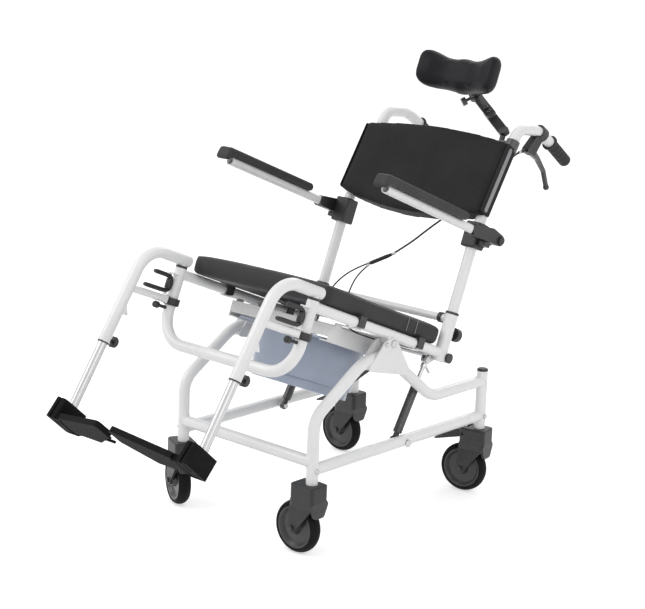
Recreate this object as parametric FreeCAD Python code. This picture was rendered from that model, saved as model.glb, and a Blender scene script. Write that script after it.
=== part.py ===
# Tilt-in-space shower commode chair on four swivel casters, in millimetres.
#
# The origin is on the floor midway between the four caster stems. +Z is up,
# the chair faces -Y and its left-hand side is +X. The chair stands as it is
# photographed, leaned back. The seat frame and all that it carries are drawn
# square in their own axes and then turned about the tilt pivot: there u runs
# backwards along the seat rails, w runs up from them, and x stays across.
import FreeCAD
import Part
import math
import os

os.makedirs("parts", exist_ok=True)

V = FreeCAD.Vector

# Fits shared by the pieces that meet
running_clearance = 0.05
slip_clearance = 0.3
overrun = 5.0
edge_tolerance = 0.1

# Base: two bent side frames, a front crossbar and the ears of the tilt pivot
half_width = 213.0
base_tube = 28.0
tube_wall = 2.0
front_post_y = -314.0
rear_post_y = 316.0
post_foot_z = 174.0
front_rise_z = 327.0
peak_y = -104.6
peak_z = 462.5
dip_y = 108.7
shoulder_z = 298.5
rear_post_top_z = 325.0
front_bend = 60.0
peak_bend = 128.0
dip_bend = 90.0
lower_bar_z = 207.0
crossbar_z = 226.0
post_cap_height = 6.0
plug_length = 60.0
bolt_head = 12.0
bolt_head_height = 5.0
spring_bolt_y = 10.0
spring_bolt_z = 203.0

# Tilt pivot, where the seat's own axes start
tilt_degrees = 22.0
pivot_y = -63.0
pivot_z = 464.0
pivot_pin = 12.0
pivot_head = 20.0
pivot_ear = 14.0
pivot_ear_plate = 4.0
ear_offset = 15.5
gusset_foot_y = -138.0
gusset_foot_z = 417.0
gusset_heel_y = -6.0
gusset_heel_z = 385.0
gusset_corner = 8.0
stop_bolt_y = -88.0
stop_bolt_z = 466.0
pivot_block_radius = 9.0
pivot_block_half = 16.0

# Casters, drawn with the stem upright at zero and the wheel trailing to -X
wheel_diameter = 125.0
tyre_width = 32.0
hub_diameter = 100.0
hub_boss = 28.0
trail = 38.0
stem_diameter = 11.0
stem_length = 52.0
axle_diameter = 8.0
axle_head = 14.0
bearing_diameter = 18.0
bearing_width = 8.0
fork_gap = 38.0
fork_width = 56.0
fork_lead = 27.0
fork_tail = 44.0
fork_corner = 9.0
hood_bottom_z = 118.0
well_clearance = 5.0
fin_thickness = 7.0
fin_bottom_z = 97.0
cheek_radius = 12.0
cheek_thickness = 6.0
pedal_width = 36.0
pedal_reach = 116.0
pedal_tip_drop = 28.0
pedal_tip = 2.5
pedal_hub = 8.0
pedal_pin = 7.0
pedal_x = -34.0
pedal_z = 157.0
pedal_hump = 22.0
rim_share = 0.9
hub_dish_share = 0.5
dish_out_share = 0.8
rim_in_share = 0.92
boss_flare_share = 1.3
tyre_wall_share = 0.4
hood_edge_share = 0.9
trailing_heading = 180.0
front_left_heading = 180.0
front_right_heading = 155.0
rear_left_heading = 190.0
rear_right_heading = 180.0

# Seat frame, in the seat's own axes from here on
rail_tube = 25.0
rail_w = 18.5
receiver_u = -300.0
receiver_foot_w = -42.0
receiver_top_w = 32.0
receiver_tube = 28.0
receiver_bore = 22.1
collar_bottom_w = -60.0
collar_diameter = 40.0
collar_round = 4.0
bumper_w = -68.0
bumper_u = -340.0
bumper_length = 12.0
bumper_stalk = 8.0
bumper_head = 16.0
post_u = 211.0
socket_tube = 33.0
socket_foot_w = -2.0
socket_top_w = 116.0
collar_top_w = 122.0
collar_outer = 34.0
rear_tube_u = 222.0
rear_tube_w = 11.0
rear_tube = 22.0
rear_tube_half = 230.0
end_cap = 25.0
end_cap_width = 6.0
stay_w = 104.0
stay_tube = 20.0
stay_ring_x = 185.0
stay_ring_width = 10.0
stay_ring = 26.0
star_knob_w = 72.0
star_knob_u = 238.0
star_knob_width = 16.0
star_knob = 34.0
star_knob_stem = 10.0
star_knob_notch = 10.0
star_knob_lobes = 6
u_tube_w = -145.0
u_tube_bend = 75.0

# Seat cushion and its clips
cushion_half = 222.0
cushion_front_u = -270.0
cushion_back_u = 190.0
cushion_bottom_w = 36.0
cushion_top_w = 79.0
cushion_crown = 5.0
cushion_corner = 18.0
cushion_draw = 4.0
cushion_side_shares = ((0.0, 1.0), (0.12, 0.25), (0.3, 0.0), (0.7, 0.0), (0.9, 0.4), (1.0, 1.2))
hole_centre_u = -20.0
hole_half_length = 118.0
hole_half_width = 82.0
slot_width = 5.0
slot_depth = 3.0
slot_front_u = 45.0
slot_back_u = 80.0
clip_front_u = -130.0
clip_rear_u = 105.0
clip_width = 24.0
clip_span = 31.0
clip_foot_w = 9.0
clip_round = 3.0

# Commode pan, its handle and the channels it slides in
pan_centre_u = -17.0
pan_radius = 131.0
pan_wall = 3.0
pan_rim_w = -33.0
pan_rim_height = 5.0
pan_flange_half = 154.0
pan_flange_depth = 134.0
pan_flange_corner = 45.0
pan_shoulder_w = -138.0
pan_foot_w = -160.0
pan_taper = 7.0
pan_foot_step = 6.0
handle_foot_w = -122.0
handle_run = 40.0
handle_bend = 60.0
handle_tip_u = 247.0
handle_tip_w = -40.0
handle_width = 30.0
handle_thickness = 5.0
runner_x = 160.0
runner_front_u = -153.0
runner_back_u = 122.0
runner_top_w = -2.0
runner_wall = 3.0
runner_lip = 25.0
front_strip_foot_w = -30.0
hanger_strap = 24.0

# Back posts with their push handles
back_tube = 28.0
back_foot_w = 26.0
bend_w = 330.0
slope_u = 262.0
slope_w = 607.0
crest_u = 340.0
crest_w = 630.0
grip_start_u = 397.0
grip_start_w = 621.0
grip_end_u = 495.0
grip_end_w = 597.0
back_bend = 300.0
neck_bend = 42.0
crest_bend = 120.0
droop_bend = 200.0
grip_diameter = 32.0
grip_setback = 10.0
grip_cap = 8.0
grip_flange = 40.0
grip_flange_width = 4.0
grip_groove = 2.0
grip_grooves = 5

# Back pad
pad_half = 229.0
pad_front_u = 180.0
pad_bottom_w = 373.0
pad_bottom_rise = 33.0
pad_height = 193.0
pad_top_rise = 18.0
pad_thick = 43.0
pad_edge = 4.0
pad_corner = 9.0

# Armrests
bracket_w = 318.0
bracket_height = 64.0
bracket_clamp = 42.0
bracket_reach = 21.5
bracket_plate = 7.0
bracket_round = 4.0
stop_lug = 12.0
arm_pivot_u = 255.0
arm_pivot_w = 324.0
arm_pin = 12.0
arm_pin_head = 22.0
arm_eye = 30.0
arm_block_width = 26.0
arm_block_front_u = 150.0
arm_block_nose = 14.0
arm_block_rise = 40.0
arm_tube = 22.0
arm_tube_w = 322.0
arm_front_u = -212.0
arm_back_u = 238.0
arm_pad_x = 251.0
arm_pad_bottom_w = 331.0
arm_pad_thickness = 21.0
arm_pad_width = 40.0
arm_pad_front_u = -239.0
arm_pad_back_u = 93.0
arm_pad_round = 5.0
arm_tip_drop = 15.0
arm_tip_reach = 7.0
hook_share = 0.7

# Tilt springs
spring_x = 185.0
spring_top_u = 198.0
spring_top_w = -6.0
spring_body = 22.0
spring_body_length = 139.0
spring_wall = 2.0
spring_gland = 10.0
spring_shaft = 10.0
spring_eye = 18.0
spring_eye_width = 10.0
spring_pin = 8.0
spring_neck = 14.0
spring_head = 26.0
spring_head_length = 22.0
spring_open_eye = 16.0
spring_bolt_head = 20.0
spring_ear = 3.0
spring_ear_gap = 0.8
spring_ear_radius = 9.0
piston_start = 52.0
piston_length = 4.0
release_arm = 30.0
release_arm_drop = 24.0
release_arm_diameter = 7.0

# Leg rests
leg_tube = 22.0
leg_wall = 1.8
hanger_tube = 28.0
hanger_wall = 2.0
hanger_start_u = -282.0
hanger_top_w = 52.0
hanger_cap = 4.0
knee_u = -424.7
knee_bend = 72.0
mouth_u = -471.5
mouth_w = -186.0
ankle_w = -385.0
ankle_u = mouth_u + (ankle_w - mouth_w) * (mouth_u - knee_u) / (mouth_w - hanger_top_w)
leg_overlap = 110.0
pin_foot_w = -38.0
link_tube = 18.0
link_w = -49.5
link_end_u = -325.0
link_tab = 4.0
link_tab_height = 18.0
lug_top_w = -72.0
lug_w = -112.0
lug_size = 16.0
lug_edge = 2.0
lug_thickness = 5.0
knob_w = -176.0
knob_reach = 26.0
knob_radius = 13.0
knob_width = 14.0
knob_stem = 8.0
bush_length = 20.0
bush_lip = 3.0

# Release levers
release_u = -327.0
release_w = -12.0
release_thickness = 12.0
release_band = 11.0
release_height = 48.0
release_upper_reach = 54.0
release_lower_reach = 74.0
release_pin = 6.0
release_boss = 14.0
release_gap = 0.5
release_ear = 3.0

# Footplates and their clamps, in axes that start at the ankle
plate_angle = 20.0
plate_inner_x = 18.0
plate_thickness = 14.0
plate_floor = 4.0
plate_rim = 4.0
plate_corner = 10.0
plate_ahead = 92.0
plate_ahead_outer = 54.0
plate_waist = 45.0
plate_step = 80.0
plate_heel = 18.0
plate_ribs = 3
rib_width = 4.0
rib_height = 6.0
hinge_offset = 27.0
hinge_rise = -6.0
hinge_pin = 8.0
hinge_barrel = 14.0
hinge_ear = 8.0
ear_thickness = 8.0
pin_front = 46.0
pin_back = 30.0
clamp_half = 17.0
clamp_front = 50.0
clamp_back = 34.0
clamp_round = 8.0
clamp_height = 50.0
clamp_drop = 13.0
clamp_slit = 5.0

# Tilt lever, its clamp on the left handle, and the cables to the springs
clamp_u = 358.0
clamp_length = 22.0
clamp_outer = 38.0
bracket_body = 20.0
lever_nose_u = 320.0
lever_nose_w = 572.0
lever_nose = 7.0
lever_pivot_u = 340.0
lever_pivot_w = 574.0
lever_boss = 10.0
lever_pin = 6.0
lever_width = 9.0
lever_slot = 34.0
lever_slot_rise = 3.0
lever_knee_u = 373.0
lever_knee_w = 566.0
lever_knee = 6.0
lever_bow_u = 415.0
lever_bow_w = 545.0
lever_tip_u = 448.0
lever_tip_w = 511.0
lever_neck = 4.5
lever_ball = 16.0
adjuster_diameter = 9.0
cable_diameter = 5.0
branch_diameter = 4.0
barrel_diameter = 10.0
ferrule_length = 8.0
ferrule_diameter = 7.0
main_route = ((213.0, 300.0, 561.0), (213.0, 276.0, 547.5), (200.0, 262.0, 505.0), (178.0, 255.0, 458.0),
              (144.0, 248.0, 414.0), (104.0, 240.0, 370.0), (60.0, 227.0, 318.0), (22.0, 214.0, 266.0),
              (-15.0, 205.0, 230.0))
barrel_end = (-72.0, 200.0, 195.0)
far_route = ((-71.0, 200.0, 198.0), (-104.0, 197.0, 178.0), (-138.0, 195.5, 152.0), (-165.0, 195.5, 118.0),
             (-180.0, 195.5, 78.0), (-185.0, 195.5, 42.0), (-184.5, 196.0, 13.0))
near_route = ((-73.0, 200.0, 192.0), (-92.0, 197.0, 168.0), (-104.0, 195.5, 138.0), (-108.5, 195.5, 104.0),
              (-107.0, 195.5, 70.0), (-98.0, 195.5, 40.0), (-74.0, 195.5, 20.0), (-30.0, 195.5, 11.0),
              (30.0, 196.0, 10.0), (90.0, 195.5, 7.0), (140.0, 195.5, 9.0), (171.0, 196.0, 14.0))

# Headrest
head_pad_u = 266.0
head_aim_u = 272.0
head_aim_w = 738.0
head_w = 734.0
head_width = 240.0
head_height = 102.0
head_thickness = 56.0
head_corner = 24.0
head_wing = 38.0
head_dip = 8.0
head_section_shares = ((-1.0, 0.6), (-0.95, 0.82), (-0.8, 0.95), (0.0, 0.97), (0.8, 0.95),
                       (0.95, 0.82), (1.0, 0.6))
head_rod_x = 178.0
head_rod_u = 255.0
head_rod = 14.0
head_clamp_w = 560.0
head_clamp_height = 30.0
head_clamp = 34.0
head_arm_share = 0.8
head_bar_w = 595.0
head_bar_width = 26.0
head_bar_thickness = 6.0
head_lower_bar = 125.0
head_upper_bar = 125.0
head_bolt_places = (12.0, 36.0)
head_ball_u = 335.0
head_ball_w = 697.0
head_ball = 26.0
head_socket = 34.0
head_socket_length = 16.0
head_screw = 8.0
head_screw_length = 28.0
head_knob = 22.0
head_knob_width = 12.0
head_stud = 10.0
head_plate_half = 34.0
head_plate_end = 14.0
head_plate_thickness = 4.0

# Values worked out from the ones above
bracket_u = post_u
runner_bottom_w = pan_rim_w - pan_rim_height - slip_clearance - runner_wall
arm_block_foot_w = arm_tube_w - arm_block_nose
arm_x = half_width + bracket_reach + slip_clearance + arm_block_width / 2
cable_arc_share = 0.45
straight_share = 0.01
dome_share = 0.6
post_bends = (back_bend, neck_bend, crest_bend, droop_bend)
sides = ((1, "left"), (-1, "right"))
seat_place = FreeCAD.Placement(V(0, pivot_y, pivot_z), FreeCAD.Rotation(V(1, 0, 0), -tilt_degrees))


# Shared shapes


def save(name, solids):
    """Write one node: a solid, or a group of separate solids."""
    shape = solids[0] if len(solids) == 1 else Part.makeCompound(solids)
    shape.exportStep(os.path.join("parts", name + ".step"))


def lean(solids):
    """Carry solids from the seat's own axes to the leaned chair."""
    moved = []
    for solid in solids:
        copy = solid.copy()
        copy.Placement = seat_place.multiply(copy.Placement)
        moved.append(copy)
    return moved


def rod(start, end, diameter):
    """A round bar between two points."""
    along = end - start
    return Part.makeCylinder(diameter / 2, along.Length, start, along)


def pipe(start, end, diameter, bore):
    """A straight tube between two points, open at both ends."""
    return rod(start, end, diameter).cut(rod(start, end, bore))


def block(centre, size):
    """A box on its centre."""
    return Part.makeBox(size.x, size.y, size.z, centre - size * 0.5)


def rim_at(solid, point):
    """The round edges of a solid whose centre is at a point."""
    return [edge for edge in solid.Edges
            if edge.Closed and edge.BoundBox.Center.distanceToPoint(point) < edge_tolerance]


def bent_path(points, bends):
    """Straight runs joined by tangent arcs, one radius for each inner point."""
    edges = []
    start = points[0]
    for index, radius in enumerate(bends):
        corner = points[index + 1]
        back = (points[index] - corner).normalize()
        ahead = (points[index + 2] - corner).normalize()
        half = ahead.getAngle(back) / 2
        reach = radius / math.tan(half)
        middle = corner + (back + ahead).normalize() * (radius / math.sin(half) - radius)
        edges.append(Part.LineSegment(start, corner + back * reach).toShape())
        edges.append(Part.Arc(corner + back * reach, middle, corner + ahead * reach).toShape())
        start = corner + ahead * reach
    edges.append(Part.LineSegment(start, points[-1]).toShape())
    return Part.Wire(edges)


def sweep(points, bends, diameter):
    """A round bar bent along a path."""
    path = bent_path(points, bends)
    ring = Part.Wire(Part.makeCircle(diameter / 2, points[0], points[1] - points[0]))
    return path.makePipeShell([ring], True, False)


def cable(points, diameter):
    """A cable whose every arc is as large as its two runs allow."""
    bends = []
    for index in range(1, len(points) - 1):
        back = points[index - 1] - points[index]
        ahead = points[index + 1] - points[index]
        half_turn = (math.pi - ahead.getAngle(back)) / 2
        bends.append(cable_arc_share * min(back.Length, ahead.Length) / math.tan(half_turn))
    print("cable radii", [round(bend) for bend in bends])
    solid = sweep(points, bends, diameter)
    length = bent_path(points, bends).Length
    print("cable volume over section times length",
          round(solid.Volume / (math.pi * diameter ** 2 / 4 * length), 3))
    return solid


def outline(circles):
    """The face inside a band stretched round circles, given as x, y and radius.

    The circles go anticlockwise round the outline.
    """
    tangents = []
    for index, (x, y, radius) in enumerate(circles):
        next_x, next_y, next_radius = circles[(index + 1) % len(circles)]
        along = V(next_x - x, next_y - y, 0)
        lean_share = (radius - next_radius) / along.Length
        direction = along.normalize()
        right = V(direction.y, -direction.x, 0)
        normal = direction * lean_share + right * math.sqrt(1 - lean_share ** 2)
        tangents.append((V(x, y, 0) + normal * radius, V(next_x, next_y, 0) + normal * next_radius))
    edges = []
    for index, (x, y, radius) in enumerate(circles):
        arrive = tangents[index - 1][1]
        leave = tangents[index][0]
        centre = V(x, y, 0)
        middle = (arrive - centre) + (leave - centre)
        if middle.Length < radius * straight_share:
            middle = V(y - arrive.y, arrive.x - x, 0)
        middle = centre + middle.normalize() * radius
        edges.append(Part.Arc(arrive, middle, leave).toShape())
        edges.append(Part.LineSegment(*tangents[index]).toShape())
    return Part.Face(Part.Wire(edges))


def side_plate(circles, x_middle, thickness):
    """A flat plate seen from the side: its outline is in y and z, or u and w."""
    plate = outline(circles).extrude(V(0, 0, thickness))
    plate.Placement = FreeCAD.Placement(V(x_middle - thickness / 2, 0, 0),
                                        FreeCAD.Rotation(V(1, 1, 1), 120))
    return plate


def upright_plate(circles, y_middle, thickness):
    """A flat plate seen from the front: its outline is in x and z."""
    plate = outline(circles).extrude(V(0, 0, thickness))
    plate.Placement = FreeCAD.Placement(V(0, y_middle + thickness / 2, 0),
                                        FreeCAD.Rotation(V(1, 0, 0), 90))
    return plate


def round_bolt(centre, direction, shank, length, head=bolt_head):
    """A domed bolt head with its shank running against the direction."""
    out = V(direction)
    out.normalize()
    head_solid = rod(centre, centre + out * bolt_head_height, head)
    head_solid = head_solid.makeFillet(bolt_head_height * dome_share,
                                       rim_at(head_solid, centre + out * bolt_head_height))
    if not length:
        return head_solid
    return head_solid.fuse(rod(centre - out * length, centre, shank))


# Base


def side_frame(side):
    """One bent side of the base: posts, hump over the pivot and lower bar."""
    x = side * half_width
    bore = base_tube - tube_wall * 2
    hump = [V(x, front_post_y, post_foot_z), V(x, front_post_y, front_rise_z), V(x, peak_y, peak_z),
            V(x, dip_y, shoulder_z), V(x, rear_post_y, shoulder_z)]
    bends = [front_bend, peak_bend, dip_bend]
    rear = [V(x, rear_post_y, post_foot_z), V(x, rear_post_y, rear_post_top_z)]
    lower = [V(x, front_post_y, lower_bar_z), V(x, rear_post_y, lower_bar_z)]
    outer = sweep(hump, bends, base_tube).fuse([rod(*rear, base_tube), rod(*lower, base_tube)])
    for face in (1, -1):
        outer = outer.fuse(side_plate([
            (gusset_foot_y, gusset_foot_z, gusset_corner), (gusset_heel_y, gusset_heel_z, gusset_corner),
            (pivot_y, pivot_z, pivot_ear), (stop_bolt_y, stop_bolt_z, gusset_corner)],
            x + face * ear_offset, pivot_ear_plate))
    frame = outer.cut(sweep(hump, bends, bore)).cut(rod(*lower, bore)).cut(rod(*rear, bore))
    across = V(base_tube, 0, 0)
    pivot = V(x, pivot_y, pivot_z)
    frame = frame.cut(rod(pivot - across, pivot + across, pivot_pin))
    spring = V(x, spring_bolt_y, spring_bolt_z)
    return frame.cut(rod(spring - across, spring + across, spring_pin)).removeSplitter()


def front_crossbar():
    """The bar welded between the front posts, coped to their round sides."""
    bar = pipe(V(-half_width, front_post_y, crossbar_z), V(half_width, front_post_y, crossbar_z),
               base_tube, base_tube - tube_wall * 2)
    for side in (1, -1):
        x = side * half_width
        bar = bar.cut(rod(V(x, front_post_y, post_foot_z), V(x, front_post_y, front_rise_z), base_tube))
        bar = bar.cut(rod(V(x, front_post_y, lower_bar_z), V(x, rear_post_y, lower_bar_z), base_tube))
    return bar


def base_plugs():
    """Stem sockets pressed into the posts' feet, and caps on the rear posts."""
    bore = base_tube - tube_wall * 2
    solids = []
    for side, _ in sides:
        for y in (front_post_y, rear_post_y):
            foot = V(side * half_width, y, post_foot_z)
            solids.append(pipe(foot, foot + V(0, 0, plug_length), bore,
                               stem_diameter + running_clearance * 2))
        top = V(side * half_width, rear_post_y, rear_post_top_z)
        cap = rod(top, top + V(0, 0, post_cap_height), base_tube)
        cap = cap.makeFillet(post_cap_height * dome_share, rim_at(cap, top + V(0, 0, post_cap_height)))
        solids.append(cap.fuse(rod(top - V(0, 0, post_cap_height), top, bore)))
    return solids


def base_bolts():
    """Bolts at the posts' feet, the pivot bolts and the springs' shouldered bolts."""
    solids = []
    for side, _ in sides:
        out = V(side, 0, 0)
        face = half_width + base_tube / 2
        for y in (front_post_y, rear_post_y):
            solids.append(round_bolt(V(side * face, y, lower_bar_z), out, 0, 0))
        ear_face = half_width + ear_offset + pivot_ear_plate / 2
        pivot = V(side * ear_face, pivot_y, pivot_z)
        pin = round_bolt(pivot, out, pivot_pin, (ear_offset + pivot_ear_plate / 2) * 2, pivot_head)
        back = pivot - out * (ear_offset + pivot_ear_plate / 2) * 2
        solids.append(pin.fuse(rod(back - out * bolt_head_height, back, pivot_head)))
        solids.append(round_bolt(V(side * ear_face, stop_bolt_y, stop_bolt_z), out, 0, 0))
        spring = V(side * face, spring_bolt_y, spring_bolt_z)
        inner = side * (spring_x - spring_eye_width / 2 - slip_clearance)
        outer = side * (spring_x + spring_eye_width / 2 + slip_clearance)
        shank = round_bolt(spring, out, spring_pin, face - abs(inner), spring_bolt_head)
        nut = rod(V(inner, spring_bolt_y, spring_bolt_z),
                  V(inner - side * bolt_head_height, spring_bolt_y, spring_bolt_z), bolt_head)
        sleeve = pipe(V(outer, spring_bolt_y, spring_bolt_z),
                      V(side * half_width, spring_bolt_y, spring_bolt_z), bolt_head, spring_pin)
        sleeve = sleeve.cut(rod(V(side * half_width, front_post_y, lower_bar_z),
                                V(side * half_width, rear_post_y, lower_bar_z), base_tube))
        solids.append(shank.fuse([nut, sleeve]))
    return solids


# Casters


def set_caster(solids, side, post_y, heading):
    """Turn a caster drawn at zero to its heading, under its post."""
    place = FreeCAD.Placement(V(side * half_width, post_y, 0),
                              FreeCAD.Rotation(V(0, 0, 1), heading - trailing_heading))
    moved = []
    for solid in solids:
        solid.Placement = place.multiply(solid.Placement)
        moved.append(solid)
    return moved


def caster_fork(braked):
    """A moulded hood with a leading fin, two cheeks, the stem and the axle bolt."""
    top = post_foot_z - slip_clearance
    axle = V(-trail, 0, wheel_diameter / 2)
    hood_height = top - hood_bottom_z
    hood = Part.makeBox(fork_lead + fork_tail, fork_width, hood_height,
                        V(-fork_tail, -fork_width / 2, hood_bottom_z))
    upright = [edge for edge in hood.Edges if edge.BoundBox.ZLength > hood_height * hood_edge_share]
    hood = hood.makeFillet(fork_corner, upright)
    rim = [edge for edge in hood.Edges if edge.BoundBox.ZMin > top - hood_height / 2]
    hood = hood.makeFillet(fork_corner / 2, rim)
    fin_half = fork_width / 2 - fork_corner
    fin = side_plate([(-fin_half, hood_bottom_z + fork_corner, fork_corner),
                      (-fin_half / 2, fin_bottom_z + fork_corner, fork_corner),
                      (fin_half / 2, fin_bottom_z + fork_corner, fork_corner),
                      (fin_half, hood_bottom_z + fork_corner, fork_corner)],
                     fork_lead - fin_thickness / 2, fin_thickness)
    parts = [fin, rod(V(0, 0, top), V(0, 0, top + stem_length), stem_diameter)]
    for face in (1, -1):
        parts.append(upright_plate([(axle.x, axle.z, cheek_radius),
                                    (fork_lead - cheek_radius, hood_bottom_z + cheek_radius, cheek_radius),
                                    (-fork_tail + cheek_radius, hood_bottom_z + cheek_radius, cheek_radius)],
                                   face * (fork_gap + cheek_thickness) / 2, cheek_thickness))
    fork = hood.fuse(parts)
    well = wheel_diameter / 2 + well_clearance
    half_gap = V(0, fork_gap / 2, 0)
    fork = fork.cut(rod(axle - half_gap, axle + half_gap, well * 2))
    half_bolt = V(0, fork_gap / 2 + cheek_thickness, 0)
    bolt = rod(axle - half_bolt, axle + half_bolt, axle_diameter)
    fork = fork.cut(bolt)
    head = V(0, bolt_head_height, 0)
    bolt = bolt.fuse([rod(axle + half_bolt, axle + half_bolt + head, axle_head),
                      rod(axle - half_bolt - head, axle - half_bolt, axle_head)])
    if braked:
        slot_half = pedal_width / 2 + slip_clearance
        slot_front = pedal_x + pedal_hub + slip_clearance
        slot_floor = pedal_z - pedal_hub * 2 - slip_clearance
        slot = Part.makeBox(slot_front + fork_tail + overrun, slot_half * 2, top - slot_floor + overrun,
                            V(-fork_tail - overrun, -slot_half, slot_floor))
        fork = fork.cut(slot)
        pin = V(0, fork_width / 2, 0)
        middle = V(pedal_x, 0, pedal_z)
        fork = fork.cut(rod(middle - pin, middle + pin, pedal_pin + running_clearance * 2))
    return [fork, bolt]


def caster_hub():
    """A dished hub disc with its rim, and a bearing ring pressed in each side."""
    half_boss = fork_gap / 2 - slip_clearance
    rim_half = tyre_width / 2 * rim_share
    dish_half = rim_half * hub_dish_share
    bore = bearing_diameter / 2
    radius = hub_diameter / 2
    profile = [V(bore, -half_boss, 0), V(hub_boss / 2, -half_boss, 0),
               V(hub_boss / 2 * boss_flare_share, -dish_half * boss_flare_share, 0),
               V(radius * dish_out_share, -dish_half, 0), V(radius * rim_in_share, -rim_half, 0),
               V(radius, -rim_half, 0)]
    profile += [V(point.x, -point.y, 0) for point in reversed(profile)]
    hub = Part.Face(Part.makePolygon(profile + [profile[0]])).revolve(V(0, 0, 0), V(0, 1, 0), 360)
    solids = [hub]
    for face in (1, -1):
        solids.append(pipe(V(0, face * (half_boss - bearing_width), 0), V(0, face * half_boss, 0),
                           bearing_diameter, axle_diameter + running_clearance * 2))
    for solid in solids:
        solid.Placement = FreeCAD.Placement(V(-trail, 0, wheel_diameter / 2), FreeCAD.Rotation())
    return solids


def caster_tyre():
    """A solid tyre with a rounded tread and straight side walls."""
    inner = hub_diameter / 2
    outer = wheel_diameter / 2
    half = tyre_width / 2
    rim_half = half * rim_share
    wall = inner + (outer - inner) * tyre_wall_share
    edges = [Part.LineSegment(V(inner, rim_half, 0), V(inner, -rim_half, 0)).toShape(),
             Part.LineSegment(V(inner, -rim_half, 0), V(wall, -half, 0)).toShape(),
             Part.Arc(V(wall, -half, 0), V(outer, 0, 0), V(wall, half, 0)).toShape(),
             Part.LineSegment(V(wall, half, 0), V(inner, rim_half, 0)).toShape()]
    tyre = Part.Face(Part.Wire(edges)).revolve(V(0, 0, 0), V(0, 1, 0), 360)
    tyre.Placement = FreeCAD.Placement(V(-trail, 0, wheel_diameter / 2), FreeCAD.Rotation())
    return [tyre]


def caster_pedal():
    """A wedge-shaped foot lever on its cross pin in the hood's tail."""
    tip_z = pedal_z - pedal_tip_drop
    pedal = upright_plate([(-pedal_reach, tip_z, pedal_tip), (pedal_x, pedal_z, pedal_hub),
                           (pedal_x - pedal_hump, pedal_z + pedal_hub / 2, pedal_hub / 2)], 0, pedal_width)
    pin = V(0, fork_width / 2 - fork_corner / 2, 0)
    middle = V(pedal_x, 0, pedal_z)
    return [pedal.fuse(rod(middle - pin, middle + pin, pedal_pin))]


# Seat frame, in the seat's own axes


def seat_frame(side):
    """One side of the seat: rail, leg rest receiver, back post socket and pivot block."""
    x = side * half_width
    receiver = (V(x, receiver_u, receiver_foot_w), V(x, receiver_u, receiver_top_w))
    socket = (V(x, post_u, socket_foot_w), V(x, post_u, socket_top_w))
    rail = pipe(V(x, receiver_u, rail_w), V(x, post_u, rail_w), rail_tube, rail_tube - tube_wall * 2)
    rail = rail.cut(rod(*receiver, receiver_tube)).cut(rod(*socket, socket_tube))
    pin_half = ear_offset - pivot_ear_plate / 2 - slip_clearance
    hub = side_plate([(0, 0, pivot_block_radius), (pivot_block_half, rail_w / 2, pivot_block_radius / 2),
                      (-pivot_block_half, rail_w / 2, pivot_block_radius / 2)], x, pin_half * 2)
    hub = hub.cut(rod(V(x, receiver_u, rail_w), V(x, post_u, rail_w), rail_tube))
    across = V(half_width, 0, 0)
    hub = hub.cut(rod(V(x, 0, 0) - across, V(x, 0, 0) + across, pivot_pin + running_clearance * 2))
    ears = []
    for w in (release_w + release_height / 2 + release_gap + release_ear / 2,
              release_w - release_height / 2 - release_gap - release_ear / 2):
        ear = outline([(x, receiver_u, release_boss / 2), (x, release_u, release_boss / 2)])
        ear = ear.extrude(V(0, 0, release_ear))
        ear.translate(V(0, 0, w - release_ear / 2))
        ears.append(ear.cut(rod(*receiver, receiver_tube)))
    pin_top = release_w + release_height / 2 + release_gap + release_ear
    pin_foot = release_w - release_height / 2 - release_gap - release_ear
    release = rod(V(x, release_u, pin_foot), V(x, release_u, pin_top), release_pin)
    frame = rail.fuse([pipe(*receiver, receiver_tube, receiver_bore),
                       pipe(*socket, socket_tube, back_tube), hub, release] + ears)
    frame = frame.cut(rod(V(x, receiver_u, receiver_foot_w), V(x, receiver_u, receiver_top_w), receiver_bore))
    return frame.cut(rear_tube_solid()).removeSplitter()


def rear_tube_solid():
    """The space of the rear cross tube, which runs through both sockets."""
    end = rear_tube_half
    return rod(V(-end, rear_tube_u, rear_tube_w), V(end, rear_tube_u, rear_tube_w), rear_tube)


def seat_cross_tubes():
    """The rear cross tube with the springs' ears, the stay above it and the front U."""
    solids = []
    end = rear_tube_half
    rear = pipe(V(-end, rear_tube_u, rear_tube_w), V(end, rear_tube_u, rear_tube_w),
                rear_tube, rear_tube - tube_wall * 2)
    ears = []
    for side, _ in sides:
        for face in (1, -1):
            offset = face * (spring_eye_width / 2 + spring_ear_gap + spring_ear / 2)
            ears.append(side_plate([(spring_top_u, spring_top_w, spring_ear_radius),
                                    (rear_tube_u, rear_tube_w, spring_ear_radius)],
                                   side * spring_x + offset, spring_ear))
        pin_half = V(spring_eye_width / 2 + spring_ear_gap + spring_ear, 0, 0)
        middle = V(side * spring_x, spring_top_u, spring_top_w)
        ears.append(rod(middle - pin_half, middle + pin_half, spring_pin))
    bore = rod(V(-end, rear_tube_u, rear_tube_w), V(end, rear_tube_u, rear_tube_w), rear_tube - tube_wall * 2)
    solids.append(rear.fuse([ear.cut(bore) for ear in ears]))
    stay = pipe(V(-half_width, post_u, stay_w), V(half_width, post_u, stay_w), stay_tube,
                stay_tube - tube_wall * 2)
    for side, _ in sides:
        x = side * half_width
        socket_end = V(x, post_u, socket_top_w + socket_tube)
        stay = stay.cut(rod(V(x, post_u, socket_foot_w), socket_end, socket_tube))
    solids.append(stay)
    corners = [V(half_width, receiver_u, receiver_foot_w), V(half_width, receiver_u, u_tube_w),
               V(-half_width, receiver_u, u_tube_w), V(-half_width, receiver_u, receiver_foot_w)]
    front = sweep(corners, [u_tube_bend, u_tube_bend], receiver_tube)
    solids.append(front.cut(sweep(corners, [u_tube_bend, u_tube_bend], receiver_tube - tube_wall * 2)))
    return solids


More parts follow.
